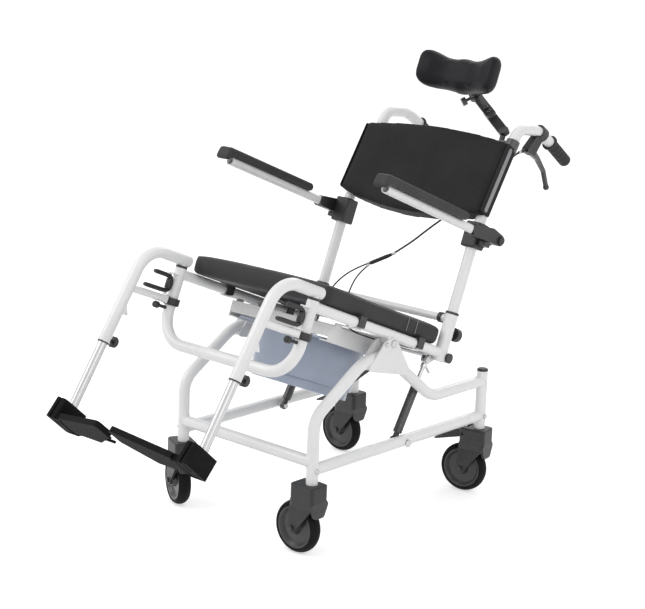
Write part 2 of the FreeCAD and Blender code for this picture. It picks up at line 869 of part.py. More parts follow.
def latch_blocks():
    """Plastic collars and stop bumpers under the receivers, and the bushes on top of them."""
    solids = []
    for side, _ in sides:
        x = side * half_width
        collar = rod(V(x, receiver_u, collar_bottom_w), V(x, receiver_u, receiver_foot_w), collar_diameter)
        collar = collar.makeFillet(collar_round, rim_at(collar, V(x, receiver_u, collar_bottom_w)))
        collar = collar.cut(rod(V(x, receiver_u, collar_bottom_w), V(x, receiver_u, receiver_foot_w),
                                receiver_tube))
        solids.append(collar)
        stalk = rod(V(x, receiver_u, bumper_w), V(x, bumper_u, bumper_w), bumper_stalk)
        stalk = stalk.cut(rod(V(x, receiver_u, u_tube_w), V(x, receiver_u, receiver_foot_w), receiver_tube))
        head = rod(V(x, bumper_u, bumper_w), V(x, bumper_u - bumper_length, bumper_w), bumper_head)
        rim = rim_at(head, V(x, bumper_u - bumper_length, bumper_w))
        head = head.makeFillet(bumper_stalk * dome_share / 2, rim)
        solids.append(stalk.fuse(head))
        top = hanger_top_w - hanger_tube / 2 - slip_clearance
        solids.append(pipe(V(x, receiver_u, receiver_top_w), V(x, receiver_u, top),
                           receiver_tube, receiver_bore))
    return solids


# Seat cushion, clips and the commode pan below it


def rounded_wire(width, depth, corner, centre):
    """A level rectangle with round corners, on its centre."""
    x = width / 2 - corner
    y = depth / 2 - corner
    slant = corner * math.sqrt(0.5)
    edges = []
    turns = ((x, y, 1, 1), (-x, y, -1, 1), (-x, -y, -1, -1), (x, -y, 1, -1))
    for index, (cx, cy, sx, sy) in enumerate(turns):
        across = V(cx + sx * corner, cy, 0) + centre
        along = V(cx, cy + sy * corner, 0) + centre
        start, end = (across, along) if sx * sy > 0 else (along, across)
        edges.append(Part.Arc(start, V(cx + sx * slant, cy + sy * slant, 0) + centre, end).toShape())
        next_x, next_y, next_sx, next_sy = turns[(index + 1) % 4]
        if sx * sy > 0:
            far = V(next_x, next_y + next_sy * corner, 0)
        else:
            far = V(next_x + next_sx * corner, next_y, 0)
        edges.append(Part.LineSegment(end, far + centre).toShape())
    return Part.Wire(edges)


def seat_cushion():
    """A crowned cushion with drawn-in sides, edge channels and the open commode hole."""
    depth = cushion_back_u - cushion_front_u
    middle_u = (cushion_back_u + cushion_front_u) / 2
    height = cushion_top_w - cushion_bottom_w
    wires = []
    for height_share, inset_share in cushion_side_shares:
        inset = cushion_draw * inset_share
        wires.append(rounded_wire(cushion_half * 2 - inset * 2, depth - inset * 2, cushion_corner - inset,
                                  V(0, middle_u, cushion_bottom_w + height * height_share)))
    cushion = Part.makeLoft(wires, True, True)
    radius = (cushion_half ** 2 + cushion_crown ** 2) / (2 * cushion_crown)
    axis_w = cushion_top_w - radius
    crown = rod(V(0, cushion_front_u - overrun, axis_w), V(0, cushion_back_u + overrun, axis_w), radius * 2)
    cushion = cushion.common(crown)
    reach = hole_half_length - hole_half_width
    hole = outline([(0, hole_centre_u - reach, hole_half_width), (0, hole_centre_u + reach, hole_half_width)])
    hole = hole.extrude(V(0, 0, height + overrun * 2))
    hole.translate(V(0, 0, cushion_bottom_w - overrun))
    cushion = cushion.cut(hole)
    for side, _ in sides:
        for u in (slot_front_u, slot_back_u):
            centre = V(side * cushion_half, u, cushion_bottom_w + height / 2)
            cushion = cushion.cut(block(centre, V(slot_depth * 2, slot_width, height + overrun * 2)))
    return [cushion]


def seat_clips():
    """Four plastic clips under the cushion that grip the seat rails."""
    solids = []
    height = cushion_bottom_w - clip_foot_w
    for side, _ in sides:
        x = side * half_width
        for u in (clip_front_u, clip_rear_u):
            clip = block(V(x, u, cushion_bottom_w - height / 2), V(clip_span, clip_width, height))
            clip = clip.makeFillet(clip_round, [edge for edge in clip.Edges
                                                if edge.BoundBox.ZMax < clip_foot_w + clip_round])
            rail = rod(V(x, u - clip_width, rail_w), V(x, u + clip_width, rail_w), rail_tube)
            solids.append(clip.cut(rail))
    return solids


def pan_carrier():
    """Folded side channels that the pan slides in, with a front strip and four straps."""
    parts = []
    top = rail_w - rail_tube / 2
    length = runner_back_u - runner_front_u
    middle_u = (runner_back_u + runner_front_u) / 2
    for side, _ in sides:
        web_height = runner_top_w - runner_bottom_w
        parts.append(block(V(side * runner_x, middle_u, runner_bottom_w + web_height / 2),
                           V(runner_wall, length, web_height)))
        lip_x = side * (runner_x + runner_wall / 2 - runner_lip / 2)
        parts.append(block(V(lip_x, middle_u, runner_bottom_w + runner_wall / 2),
                           V(runner_lip, length, runner_wall)))
        for u in (runner_front_u + hanger_strap, runner_back_u - hanger_strap):
            drop = top - runner_top_w + hanger_strap / 2
            parts.append(block(V(side * runner_x, u, top - drop / 2), V(runner_wall, hanger_strap, drop)))
            span = half_width + rail_tube / 4 - runner_x
            parts.append(block(V(side * (runner_x + span / 2), u, top - runner_wall / 2),
                               V(span + runner_wall, hanger_strap, runner_wall)))
    strip_height = runner_top_w - front_strip_foot_w
    parts.append(block(V(0, runner_front_u + runner_wall / 2, front_strip_foot_w + strip_height / 2),
                       V(runner_x * 2, runner_wall, strip_height)))
    return [parts[0].fuse(parts[1:]).removeSplitter()]


def commode_pan():
    """A round tapered tub with a stepped foot, hanging by a wide flange in the channels."""
    inner = pan_radius - pan_wall
    foot = pan_radius - pan_taper
    step = foot - pan_foot_step
    profile = [V(0, 0, pan_foot_w), V(step, 0, pan_foot_w), V(step, 0, pan_shoulder_w),
               V(foot, 0, pan_shoulder_w), V(pan_radius, 0, pan_rim_w), V(inner, 0, pan_rim_w),
               V(foot - pan_wall, 0, pan_shoulder_w + pan_wall),
               V(step - pan_wall, 0, pan_shoulder_w + pan_wall),
               V(step - pan_wall, 0, pan_foot_w + pan_wall), V(0, 0, pan_foot_w + pan_wall)]
    tub = Part.Face(Part.makePolygon(profile + [profile[0]])).revolve(V(0, 0, 0), V(0, 0, 1), 360)
    flange = Part.Face(rounded_wire(pan_flange_half * 2, pan_flange_depth * 2, pan_flange_corner,
                                    V(0, 0, pan_rim_w - pan_rim_height)))
    flange = flange.extrude(V(0, 0, pan_rim_height))
    flange = flange.cut(rod(V(0, 0, pan_shoulder_w), V(0, 0, 0), inner * 2))
    pan = tub.fuse(flange)
    pan.translate(V(0, pan_centre_u, 0))
    return [pan.removeSplitter()]


def pan_handle():
    """A curved strap screwed to the back of the tub to draw it out."""
    foot_u = pan_centre_u + pan_radius - pan_taper
    points = [V(0, foot_u, handle_foot_w), V(0, foot_u + handle_run, handle_foot_w),
              V(0, handle_tip_u, handle_tip_w)]
    path = bent_path(points, [handle_bend])
    half = V(handle_width / 2, 0, 0)
    thick = V(0, 0, handle_thickness / 2)
    corners = [points[0] - half - thick, points[0] + half - thick, points[0] + half + thick,
               points[0] - half + thick]
    strap = path.makePipeShell([Part.makePolygon(corners + [corners[0]])], True, False)
    pad = block(V(0, foot_u, handle_foot_w), V(handle_width, handle_run, handle_width))
    strap = strap.fuse(pad)
    wall = Part.makeCone(pan_radius - pan_taper, pan_radius, pan_rim_w - pan_shoulder_w,
                         V(0, pan_centre_u, pan_shoulder_w), V(0, 0, 1))
    strap = strap.cut(wall)
    return [strap.cut(rod(V(0, pan_centre_u, pan_foot_w), V(0, pan_centre_u, pan_shoulder_w),
                          (pan_radius - pan_taper) * 2))]


# Back posts, back pad and what is fixed to them


def back_points(side):
    """The corners of a back post, from its foot in the socket to the push handle's end."""
    x = side * half_width
    return [V(x, post_u, back_foot_w), V(x, post_u, bend_w), V(x, slope_u, slope_w),
            V(x, crest_u, crest_w), V(x, grip_start_u, grip_start_w), V(x, grip_end_u, grip_end_w)]


def back_post(side):
    """A tube that rises from its socket and bends back into the push handle."""
    return post_space(side, back_tube).cut(post_space(side, back_tube - tube_wall * 2))


def post_space(side, diameter):
    """A round bar along a back post's whole path."""
    return sweep(back_points(side), post_bends, diameter)


def handle_grips():
    """Sleeves with a flange, shallow finger grooves and a closed, rounded end."""
    solids = []
    for side, _ in sides:
        points = back_points(side)
        along = (points[-1] - points[-2]).normalize()
        start = points[-2] + along * grip_setback
        end = points[-1] + along * grip_cap
        grip = rod(start, end, grip_diameter)
        grip = grip.makeFillet(grip_cap, rim_at(grip, end))
        grip = grip.fuse(rod(start, start + along * grip_flange_width, grip_flange))
        pitch = (end - start).Length / (grip_grooves + 2)
        for index in range(grip_grooves):
            middle = start + along * pitch * (index + 1.5)
            ring = Part.makeTorus(grip_diameter / 2 + grip_groove / 2, grip_groove, middle, along)
            grip = grip.cut(ring)
        solids.append(grip.cut(rod(points[-2], points[-1], back_tube)))
    return solids


def back_pad():
    """A pad that leans with the posts and wraps them, with bowed upper and lower edges."""
    corners = [V(-pad_half, 0, 0), V(pad_half, 0, 0), V(pad_half, 0, pad_height),
               V(-pad_half, 0, pad_height)]
    edges = [Part.Arc(corners[0], V(0, 0, -pad_bottom_rise), corners[1]).toShape(),
             Part.LineSegment(corners[1], corners[2]).toShape(),
             Part.Arc(corners[2], V(0, 0, pad_height + pad_top_rise), corners[3]).toShape(),
             Part.LineSegment(corners[3], corners[0]).toShape()]
    pad = Part.Face(Part.Wire(edges)).extrude(V(0, pad_thick, 0))
    upright = [edge for edge in pad.Edges if edge.BoundBox.YLength > pad_thick / 2]
    pad = pad.makeFillet(pad_corner, upright)
    front = [edge for edge in pad.Edges if edge.BoundBox.YMax < edge_tolerance]
    pad = pad.makeFillet(pad_edge, front)
    lean_back = math.degrees(math.atan((slope_u - post_u) / (slope_w - bend_w)))
    pad.Placement = FreeCAD.Placement(V(0, pad_front_u, pad_bottom_w),
                                      FreeCAD.Rotation(V(1, 0, 0), -lean_back))
    for side in (1, -1):
        pad = pad.cut(post_space(side, back_tube))
    return [pad.cut(clamp_space())]


def clamp_space():
    """The room that the headrest's clamp and rod take behind the pad's upper corner."""
    inner_x = head_rod_x - head_rod / 2 - slip_clearance
    outer_x = half_width + head_clamp / 2 + overrun
    foot_w = head_clamp_w - head_clamp_height / 2 - overrun
    clamp_u = post_u + (foot_w - bend_w) * (slope_u - post_u) / (slope_w - bend_w)
    front_u = clamp_u - head_clamp / 2 - overrun / 2
    return Part.makeBox(outer_x - inner_x, head_clamp * 2, head_clamp_height * 2,
                        V(inner_x, front_u, foot_w))


def back_fittings():
    """Socket collars, stay rings, cross tube caps, height knobs and the brake lever's clamp."""
    solids = []
    for side, _ in sides:
        x = side * half_width
        collar = pipe(V(x, post_u, socket_top_w), V(x, post_u, collar_top_w), collar_outer, back_tube)
        solids.append(collar)
        ring_x = side * stay_ring_x
        half = V(stay_ring_width / 2, 0, 0)
        middle = V(ring_x, post_u, stay_w)
        solids.append(pipe(middle - half, middle + half, stay_ring, stay_tube))
        end = V(side * rear_tube_half, rear_tube_u, rear_tube_w)
        cap = rod(end, end + V(side * end_cap_width, 0, 0), end_cap)
        cap = cap.fuse(rod(end - V(side * end_cap_width * 2, 0, 0), end, rear_tube - tube_wall * 2))
        solids.append(cap)
        stem = V(x, star_knob_u, star_knob_w)
        knob = rod(V(x, post_u, star_knob_w), stem, star_knob_stem)
        knob = knob.cut(rod(V(x, post_u, socket_foot_w), V(x, post_u, socket_top_w), socket_tube))
        star = rod(stem, stem + V(0, star_knob_width, 0), star_knob)
        for index in range(star_knob_lobes):
            turn = 2 * math.pi * index / star_knob_lobes
            centre = stem + V(math.cos(turn), 0, math.sin(turn)) * (star_knob / 2 + star_knob_notch / 2)
            star = star.cut(rod(centre - V(0, overrun, 0), centre + V(0, star_knob_width + overrun, 0),
                                star_knob_notch))
        solids.append(knob.fuse(star))
    solids.append(lever_bracket())
    return solids


def lever_bracket():
    """The moulded clamp on the left handle, forked below for the tilt lever."""
    points = back_points(1)
    along = (points[4] - points[3]).normalize()
    middle = V(half_width, clamp_u, crest_w + (clamp_u - crest_u) * along.z / along.y)
    ring = rod(middle - along * clamp_length / 2, middle + along * clamp_length / 2, clamp_outer)
    body = side_plate([(lever_nose_u, lever_nose_w, lever_nose), (lever_pivot_u, lever_pivot_w, lever_boss),
                       (clamp_u, middle.z, lever_boss), (clamp_u - lever_boss, middle.z, lever_boss / 2)],
                      half_width, bracket_body)
    adjuster = rod(V(half_width, lever_nose_u, lever_nose_w), V(*main_route[0]), adjuster_diameter)
    bracket = ring.fuse([body, adjuster]).cut(post_space(1, back_tube))
    slot = lever_width / 2 + slip_clearance
    bracket = bracket.cut(block(V(half_width, lever_pivot_u + lever_slot / 2 - lever_boss - slip_clearance,
                                  lever_pivot_w - lever_slot / 2 + lever_boss + lever_slot_rise),
                                V(slot * 2, lever_slot, lever_slot)))
    pin = V(bracket_body / 2, 0, 0)
    pivot = V(half_width, lever_pivot_u, lever_pivot_w)
    return bracket.fuse(rod(pivot - pin, pivot + pin, lever_pin))


def tilt_lever():
    """A bent blade with a ball end, hung on the clamp's cross pin."""
    pivot = (lever_pivot_u, lever_pivot_w, lever_boss - slip_clearance)
    lever = side_plate([pivot, (lever_knee_u, lever_knee_w, lever_knee)], half_width, lever_width)
    lever = lever.fuse(side_plate([(lever_knee_u, lever_knee_w, lever_knee),
                                   (lever_bow_u, lever_bow_w, lever_neck)], half_width, lever_width))
    lever = lever.fuse(side_plate([(lever_tip_u, lever_tip_w, lever_neck),
                                   (lever_bow_u, lever_bow_w, lever_neck)], half_width, lever_width))
    ball = Part.makeSphere(lever_ball / 2, V(half_width, lever_tip_u, lever_tip_w))
    across = V(bracket_body, 0, 0)
    middle = V(half_width, lever_pivot_u, lever_pivot_w)
    lever = lever.fuse(ball).cut(rod(middle - across, middle + across, lever_pin + running_clearance * 2))
    return [lever.removeSplitter()]


def tilt_cables():
    """The cable from the lever, its splitter, and one branch to each spring's head."""
    main = cable([V(*point) for point in main_route], cable_diameter)
    start = V(*main_route[-1])
    end = V(*barrel_end)
    along = (end - start).normalize()
    ferrule = rod(start, start + along * ferrule_length, ferrule_diameter)
    barrel = rod(start, end, barrel_diameter).fuse(ferrule)
    far_branch = cable([V(*point) for point in far_route], branch_diameter)
    near_branch = cable([V(*point) for point in near_route], branch_diameter)
    return [main, barrel, far_branch, near_branch]


# Armrests


def arm_brackets():
    """Moulded clamps round the back posts with a stop lug and the hinge pin."""
    solids = []
    for side, _ in sides:
        x = side * half_width
        face = side * (half_width + bracket_reach)
        clamp = block(V(x, bracket_u, bracket_w), V(bracket_reach * 2, bracket_clamp, bracket_height))
        clamp = clamp.makeFillet(bracket_round, clamp.Edges)
        plate = side_plate([(bracket_u, bracket_w - bracket_height / 2 + bracket_plate, bracket_plate),
                            (arm_pivot_u, arm_pivot_w, arm_eye / 2),
                            (bracket_u, bracket_w + bracket_height / 2 - bracket_plate, bracket_plate)],
                           side * (half_width + bracket_reach - bracket_plate / 2), bracket_plate)
        lug_top = arm_block_foot_w - slip_clearance
        lug_x = side * (half_width + bracket_reach + arm_block_width / 2 - bracket_plate / 2)
        lug = block(V(lug_x, bracket_u, lug_top - stop_lug / 2),
                    V(arm_block_width, bracket_clamp / 2, stop_lug))
        pivot = V(face, arm_pivot_u, arm_pivot_w)
        out = V(side, 0, 0)
        tip = pivot + out * (arm_block_width + slip_clearance * 2)
        pin = rod(pivot - out * bracket_plate / 2, tip, arm_pin)
        head = round_bolt(tip, out, 0, 0, arm_pin_head)
        bracket = clamp.fuse([plate, lug, pin, head])
        solids.append(bracket.cut(post_space(side, back_tube)))
    return solids


def arm_tube_solid(side):
    """The armrest's straight tube, from under the pad's tip into the hinge block."""
    x = side * arm_x
    front = V(x, arm_front_u, arm_tube_w)
    back = V(x, arm_back_u, arm_tube_w)
    return pipe(front, back, arm_tube, arm_tube - tube_wall * 2)


def arm_pad(side):
    """A long pad with rounded rims and a hooked tip, and the moulded hinge block."""
    x = side * arm_pad_x
    tip = arm_pad_front_u
    half = arm_pad_thickness / 2
    middle_w = arm_pad_bottom_w + half
    ends = [(tip + half, middle_w, half), (arm_pad_back_u - half, middle_w, half)]
    pad = side_plate(ends, x, arm_pad_width)
    hook = side_plate([(tip + half - arm_tip_reach, middle_w - arm_tip_drop, half * hook_share),
                       (tip + half + arm_tip_reach * 2, middle_w, half), (tip + half, middle_w, half)],
                      x, arm_pad_width)
    pad = pad.fuse(hook).removeSplitter()
    long_edges = [edge for edge in pad.Edges if edge.BoundBox.XLength < edge_tolerance]
    pad = pad.makeFillet(arm_pad_round, long_edges)
    pad = pad.cut(rod(V(side * arm_x, arm_front_u - slip_clearance, arm_tube_w),
                      V(side * arm_x, arm_pad_back_u + overrun, arm_tube_w), arm_tube))
    inner = half_width + bracket_reach + slip_clearance
    hinge = side_plate([(arm_block_front_u, arm_tube_w, arm_block_nose),
                        (arm_pivot_u, arm_pivot_w, arm_block_nose),
                        (arm_pivot_u - arm_block_rise, arm_pivot_w + arm_block_nose / 2, arm_block_nose)],
                       side * (inner + arm_block_width / 2), arm_block_width)
    hinge = hinge.cut(rod(V(side * arm_x, arm_block_front_u - arm_block_nose, arm_tube_w),
                          V(side * arm_x, arm_back_u, arm_tube_w), arm_tube))
    across = V(arm_block_width, 0, 0)
    pivot = V(side * (inner + arm_block_width / 2), arm_pivot_u, arm_pivot_w)
    hinge = hinge.cut(rod(pivot - across, pivot + across, arm_pin + running_clearance * 2))
    return [pad, hinge]


# Tilt springs, drawn in the base's own axes along their line at rest


def spring_line(side):
    """The lower and upper pivots of a tilt spring, and the unit line between them."""
    low = V(side * spring_x, spring_bolt_y, spring_bolt_z)
    high = seat_place.multVec(V(side * spring_x, spring_top_u, spring_top_w))
    return low, high, (high - low).normalize()


def spring_cylinder(side):
    """The spring's pressure tube with its lower eye and rod gland."""
    low, _, along = spring_line(side)
    top = low + along * (spring_eye + spring_body_length)
    foot = low + along * spring_eye
    body = rod(foot, top, spring_body)
    body = body.cut(rod(foot + along * spring_wall * 2, top, spring_body - spring_wall * 2))
    gland_bore = spring_shaft + running_clearance * 2
    gland = pipe(top - along * spring_gland, top, spring_body - spring_wall, gland_bore)
    half = V(spring_eye_width / 2, 0, 0)
    eye = rod(low - half, low + half, spring_eye)
    neck = rod(low + along * (spring_eye / 2 - spring_wall), foot + along * spring_wall, spring_neck)
    cylinder = body.fuse([gland, eye, neck])
    return [cylinder.cut(rod(low - half, low + half, spring_pin + running_clearance * 2))]


def spring_rod(side):
    """The piston rod with its piston, release head, wide upper eye and release arm."""
    low, high, along = spring_line(side)
    foot = low + along * piston_start
    half = V(spring_eye_width / 2, 0, 0)
    shaft = rod(foot, high, spring_shaft)
    piston = rod(foot, foot + along * piston_length, spring_body - spring_wall * 2 - slip_clearance * 2)
    head = rod(high - half, high + half, spring_head)
    neck_top = high - along * (spring_head / 2 + slip_clearance)
    neck = rod(high - along * spring_head_length, neck_top, spring_neck)
    behind = V(0, along.z, -along.y)
    arm = rod(high - along * spring_head_length / 2,
              high - along * release_arm_drop + behind * release_arm, release_arm_diameter)
    whole = shaft.fuse([piston, head, neck, arm])
    return [whole.cut(rod(high - half * 2, high + half * 2, spring_open_eye))]


# Leg rests


def leg_line():
    """The knee, mouth and ankle of a leg rest on the middle plane, and its unit line."""
    knee = V(0, knee_u, hanger_top_w)
    mouth = V(0, mouth_u, mouth_w)
    return knee, mouth, (mouth - knee).normalize()


def leg_hanger(side):
    """The bent hanger tube with its swivel pin, latch strut, stop lug and knob boss."""
    x = side * half_width
    knee, mouth, down = leg_line()
    shift = V(x, 0, 0)
    start = V(x, hanger_start_u, hanger_top_w)
    points = [start, knee + shift, mouth + shift]
    tube = sweep(points, [knee_bend], hanger_tube)
    bore = sweep([start - V(0, hanger_cap, 0)] + points[1:], [knee_bend], hanger_tube - hanger_wall * 2)
    pin = rod(V(x, receiver_u, pin_foot_w), V(x, receiver_u, hanger_top_w), leg_tube)
    on_leg = knee + shift + down * ((link_w - hanger_top_w) / down.z)
    link = rod(on_leg, V(x, link_end_u, link_w), link_tube)
    tab = block(V(x, link_end_u + link_tab / 2, link_w), V(link_tube, link_tab, link_tab_height))
    lug_top = knee + shift + down * ((lug_top_w - hanger_top_w) / down.z)
    lug_foot = knee + shift + down * ((lug_w - hanger_top_w) / down.z)
    lug_tip_u = lug_foot.y + lug_size + hanger_tube / 2
    lug = side_plate([(lug_foot.y, lug_foot.z, lug_edge), (lug_tip_u, lug_w, lug_edge),
                      (lug_top.y, lug_top.z, lug_edge)], x, lug_thickness)
    outer = tube.fuse([pin, link, tab, lug])
    return [outer.cut(bore).removeSplitter()]


def leg_knob(side):
    """The clamping knob behind the hanger's mouth, and the bush that guides the leg tube."""
    x = side * half_width
    knee, mouth, down = leg_line()
    shift = V(x, 0, 0)
    centre = knee + shift + down * ((knob_w - hanger_top_w) / down.z)
    behind = V(0, -down.z, down.y)
    face = centre + behind * (hanger_tube / 2 - hanger_wall)
    tip = centre + behind * knob_reach
    stem = rod(face, tip, knob_stem)
    stem = stem.cut(rod(knee + shift, mouth + shift, hanger_tube))
    across = V(knob_width / 2, 0, 0)
    paddle = rod(tip - across, tip + across, knob_radius * 2)
    paddle = paddle.cut(rod(centre, tip, knob_radius * 3))
    mouth_point = mouth + shift
    bush = pipe(mouth_point - down * bush_length, mouth_point, hanger_tube - hanger_wall * 2,
                leg_tube + running_clearance * 2)
    lip = pipe(mouth_point, mouth_point + down * bush_lip, hanger_tube, leg_tube + running_clearance * 2)
    return [stem.fuse(paddle), bush.fuse(lip)]


def leg_tube_solid(side):
    """The chrome tube that slides in the hanger and ends in the foot clamp."""
    _, mouth, down = leg_line()
    shift = V(side * half_width, 0, 0)
    ankle = V(side * half_width, ankle_u, ankle_w)
    return [pipe(mouth + shift - down * leg_overlap, ankle, leg_tube, leg_tube - leg_wall * 2)]


def foot_frame(side):
    """The placement of a footplate's own axes at the ankle: x across, y back, z up."""
    return FreeCAD.Placement(V(side * half_width, ankle_u, ankle_w),
                             FreeCAD.Rotation(V(1, 0, 0), -plate_angle))


def foot_clamp(side):
    """A split clamp round the leg tube's end, with two ears for the footplate's pin."""
    _, _, down = leg_line()
    ankle = V(side * half_width, ankle_u, ankle_w)
    corner_x = clamp_half - clamp_round
    body = outline([(-corner_x, -clamp_front + clamp_round, clamp_round),
                    (corner_x, -clamp_front + clamp_round, clamp_round),
                    (corner_x, clamp_back - clamp_round, clamp_round),
                    (-corner_x, clamp_back - clamp_round, clamp_round)]).extrude(V(0, 0, clamp_height))
    body.translate(V(0, 0, -clamp_drop))
    slit = block(V(0, -clamp_front / 2 - overrun, clamp_height / 2 - clamp_drop),
                 V(clamp_slit, clamp_front, clamp_height + overrun * 2))
    body = body.cut(slit)
    pieces = []
    for far_y in (-pin_front + ear_thickness, pin_back):
        face = outline([(-side * hinge_offset, 0, hinge_ear), (0, 0, hinge_ear)])
        ear = face.extrude(V(0, 0, ear_thickness))
        ear.Placement = FreeCAD.Placement(V(0, far_y, hinge_rise), FreeCAD.Rotation(V(1, 0, 0), 90))
        pieces.append(ear)
    pin = rod(V(-side * hinge_offset, -pin_front, hinge_rise), V(-side * hinge_offset, pin_back, hinge_rise),
              hinge_pin)
    clamp = body.fuse(pieces + [pin])
    clamp.Placement = foot_frame(side)
    bore = rod(ankle - down * clamp_height * 2, ankle, leg_tube)
    return [clamp.cut(bore)]


def footplate(side):
    """A rimmed plate with a chamfered heel, carried by a barrel round the hinge pin."""
    inner = half_width - plate_inner_x
    hinge = hinge_offset
    corner = plate_corner
    places = ((inner - corner, -plate_ahead + corner), (inner - corner, -plate_waist),
              (inner - plate_step, plate_heel - corner), (hinge + corner, plate_heel - corner),
              (hinge + corner, -plate_ahead_outer + corner))
    circles = [(-side * inward, y, corner) for inward, y in places]
    if side > 0:
        circles.reverse()
    plate = outline(circles).extrude(V(0, 0, plate_thickness))
    recess = outline([(x, y, corner - plate_rim) for x, y, _ in circles]).extrude(V(0, 0, plate_thickness))
    recess.translate(V(0, 0, plate_floor))
    plate = plate.cut(recess)
    for index in range(plate_ribs):
        y = -plate_ahead_outer + (plate_ahead_outer + plate_heel) * (index + 1) / (plate_ribs + 1)
        long = inner - hinge - corner * 4
        rib = block(V(-side * (hinge + corner * 2 + long / 2), y, plate_floor + rib_height / 2),
                    V(long, rib_width, rib_height))
        plate = plate.fuse(rib)
    plate.translate(V(0, 0, hinge_rise - plate_thickness / 2))
    front = -pin_front + ear_thickness + slip_clearance
    back = pin_back - ear_thickness - slip_clearance
    barrel = (V(-side * hinge, front, hinge_rise), V(-side * hinge, back, hinge_rise))
    web = block(V(-side * (hinge + corner), (front + back) / 2, hinge_rise),
                V(corner * 2, back - front, plate_thickness))
    plate = plate.fuse([rod(*barrel, hinge_barrel), web])
    for near_y, far_y in ((-pin_front, -pin_front + ear_thickness), (pin_back - ear_thickness, pin_back)):
        notch = hinge + hinge_ear + slip_clearance
        plate = plate.cut(block(V(-side * notch / 2, (near_y + far_y) / 2, hinge_rise),
                                V(notch, far_y - near_y + slip_clearance * 2, plate_thickness * 2)))
    plate = plate.cut(rod(V(-side * hinge, -pin_front - overrun, hinge_rise),
                          V(-side * hinge, pin_back + overrun, hinge_rise),
                          hinge_pin + running_clearance * 2))
    plate.Placement = foot_frame(side)
    return [plate]


def release_lever(side):
    """A forked finger lever on the upright pin in front of the receiver."""
    x = side * half_width
    half = release_height / 2
    band = release_band / 2
    back_u = release_u
    upper = side_plate([(back_u, release_w + half - band, band),
                        (back_u - release_upper_reach, release_w + half - band, band)], x, release_thickness)
    lower = side_plate([(back_u, release_w - half + band, band),
                        (back_u - release_lower_reach, release_w - half + band, band)], x, release_thickness)
    spine = side_plate([(back_u, release_w + half - band, band), (back_u, release_w - half + band, band)],
                       x, release_thickness)
    boss = rod(V(x, release_u, release_w - half), V(x, release_u, release_w + half), release_boss)
    lever = upper.fuse([lower, spine, boss])
    return [lever.cut(rod(V(x, release_u, release_w - half * 2), V(x, release_u, release_w + half * 2),
                          release_pin + running_clearance * 2)).removeSplitter()]


# Headrest


def head_line():
    """The headrest bars' start and ball, their unit line and the way the pad faces."""
    start = V(head_rod_x, head_rod_u, head_bar_w)
    ball = V(0, head_ball_u, head_ball_w)
    along = (ball - start).normalize()
    facing = V(0, head_aim_u - head_ball_u, head_aim_w - head_ball_w)
    facing = (facing - along * facing.dot(along)).normalize()
    return start, ball, along, facing


def flat_bar(start, end, facing, offset):
    """A flat bar with round ends, whose broad faces look along the facing line."""
    along = end - start
    bar = outline([(0, 0, head_bar_width / 2), (along.Length, 0, head_bar_width / 2)])
    bar = bar.extrude(V(0, 0, head_bar_thickness))
    along.normalize()
    across = facing.cross(along)
    bar.Placement = FreeCAD.Placement(start + facing * offset, FreeCAD.Rotation(along, across, facing, "XYZ"))
    return bar


def headrest_mount():
    """The clamp on the left post with its upright rod and the fixed lower bar."""
    start, _, along, facing = head_line()
    points = back_points(1)
    rise = (points[2] - points[1]).normalize()
    middle = points[1] + rise * ((head_clamp_w - bend_w) / rise.z)
    ring = rod(middle - rise * head_clamp_height / 2, middle + rise * head_clamp_height / 2, head_clamp)
    foot = V(head_rod_x, head_rod_u, head_clamp_w - head_clamp_height / 2)
    arm = block(V((head_rod_x + half_width) / 2, middle.y, head_clamp_w),
                V(half_width - head_rod_x, head_rod * head_arm_share, head_clamp_height * head_arm_share))
    upright = rod(foot, start, head_rod)
    joint = rod(start - facing * head_bar_thickness, start + facing * head_bar_thickness, head_bar_width)
    lower = flat_bar(start, start + along * head_lower_bar, facing, -head_bar_thickness)
    mount = ring.fuse([arm, upright, joint, lower])
    return [mount.cut(post_space(1, back_tube))]


def headrest_bar():
    """The sliding upper bar with its clamp bolts, and the split socket at its end."""
    _, ball, along, facing = head_line()
    first = ball - along * head_upper_bar
    last = ball - along * (head_ball / 2)
    bar = flat_bar(first, last, facing, slip_clearance)
    socket = rod(ball - facing * head_socket_length / 2, ball + facing * head_socket_length / 2, head_socket)
    screw = rod(ball, ball - along.cross(facing) * head_screw_length, head_screw)
    knob_start = ball - along.cross(facing) * head_screw_length
    knob = rod(knob_start, knob_start - along.cross(facing) * head_knob_width, head_knob)
    bolts = []
    for distance in head_bolt_places:
        centre = first + along * distance + facing * (slip_clearance + head_bar_thickness)
        bolts.append(round_bolt(centre, facing, 0, 0))
    whole = bar.fuse([socket, screw, knob] + bolts)
    return [whole.cut(Part.makeSphere(head_ball / 2 + running_clearance, ball))]


def headrest_plate():
    """The ball on its stud, and the plate that the headrest pad is screwed to."""
    _, ball, _, facing = head_line()
    back_u = head_pad_u + head_thickness / 2 + slip_clearance
    stud_end = ball + facing * ((back_u + head_plate_thickness / 2 - ball.y) / facing.y)
    plate = upright_plate([(-head_plate_half, stud_end.z, head_plate_end),
                           (head_plate_half, stud_end.z, head_plate_end)],
                          back_u + head_plate_thickness / 2, head_plate_thickness)
    ball_solid = Part.makeSphere(head_ball / 2, ball)
    stud = rod(ball, stud_end, head_stud)
    return [plate.fuse([ball_solid, stud])]


def headrest_pad():
    """A padded headrest with wings that curve forward and a dipped upper edge."""
    wires = []
    for place_share, size_share in head_section_shares:
        wing = head_wing * place_share ** 2
        centre_w = head_w + head_dip * (place_share ** 2 - 1)
        wire = rounded_wire(head_height * size_share, head_thickness * size_share,
                            head_corner * size_share, V(0, 0, 0))
        wire.Placement = FreeCAD.Placement(V(head_width / 2 * place_share, head_pad_u - wing, centre_w),
                                           FreeCAD.Rotation(V(0, 1, 0), 90))
        wires.append(wire)
    return [Part.makeLoft(wires, True, False)]


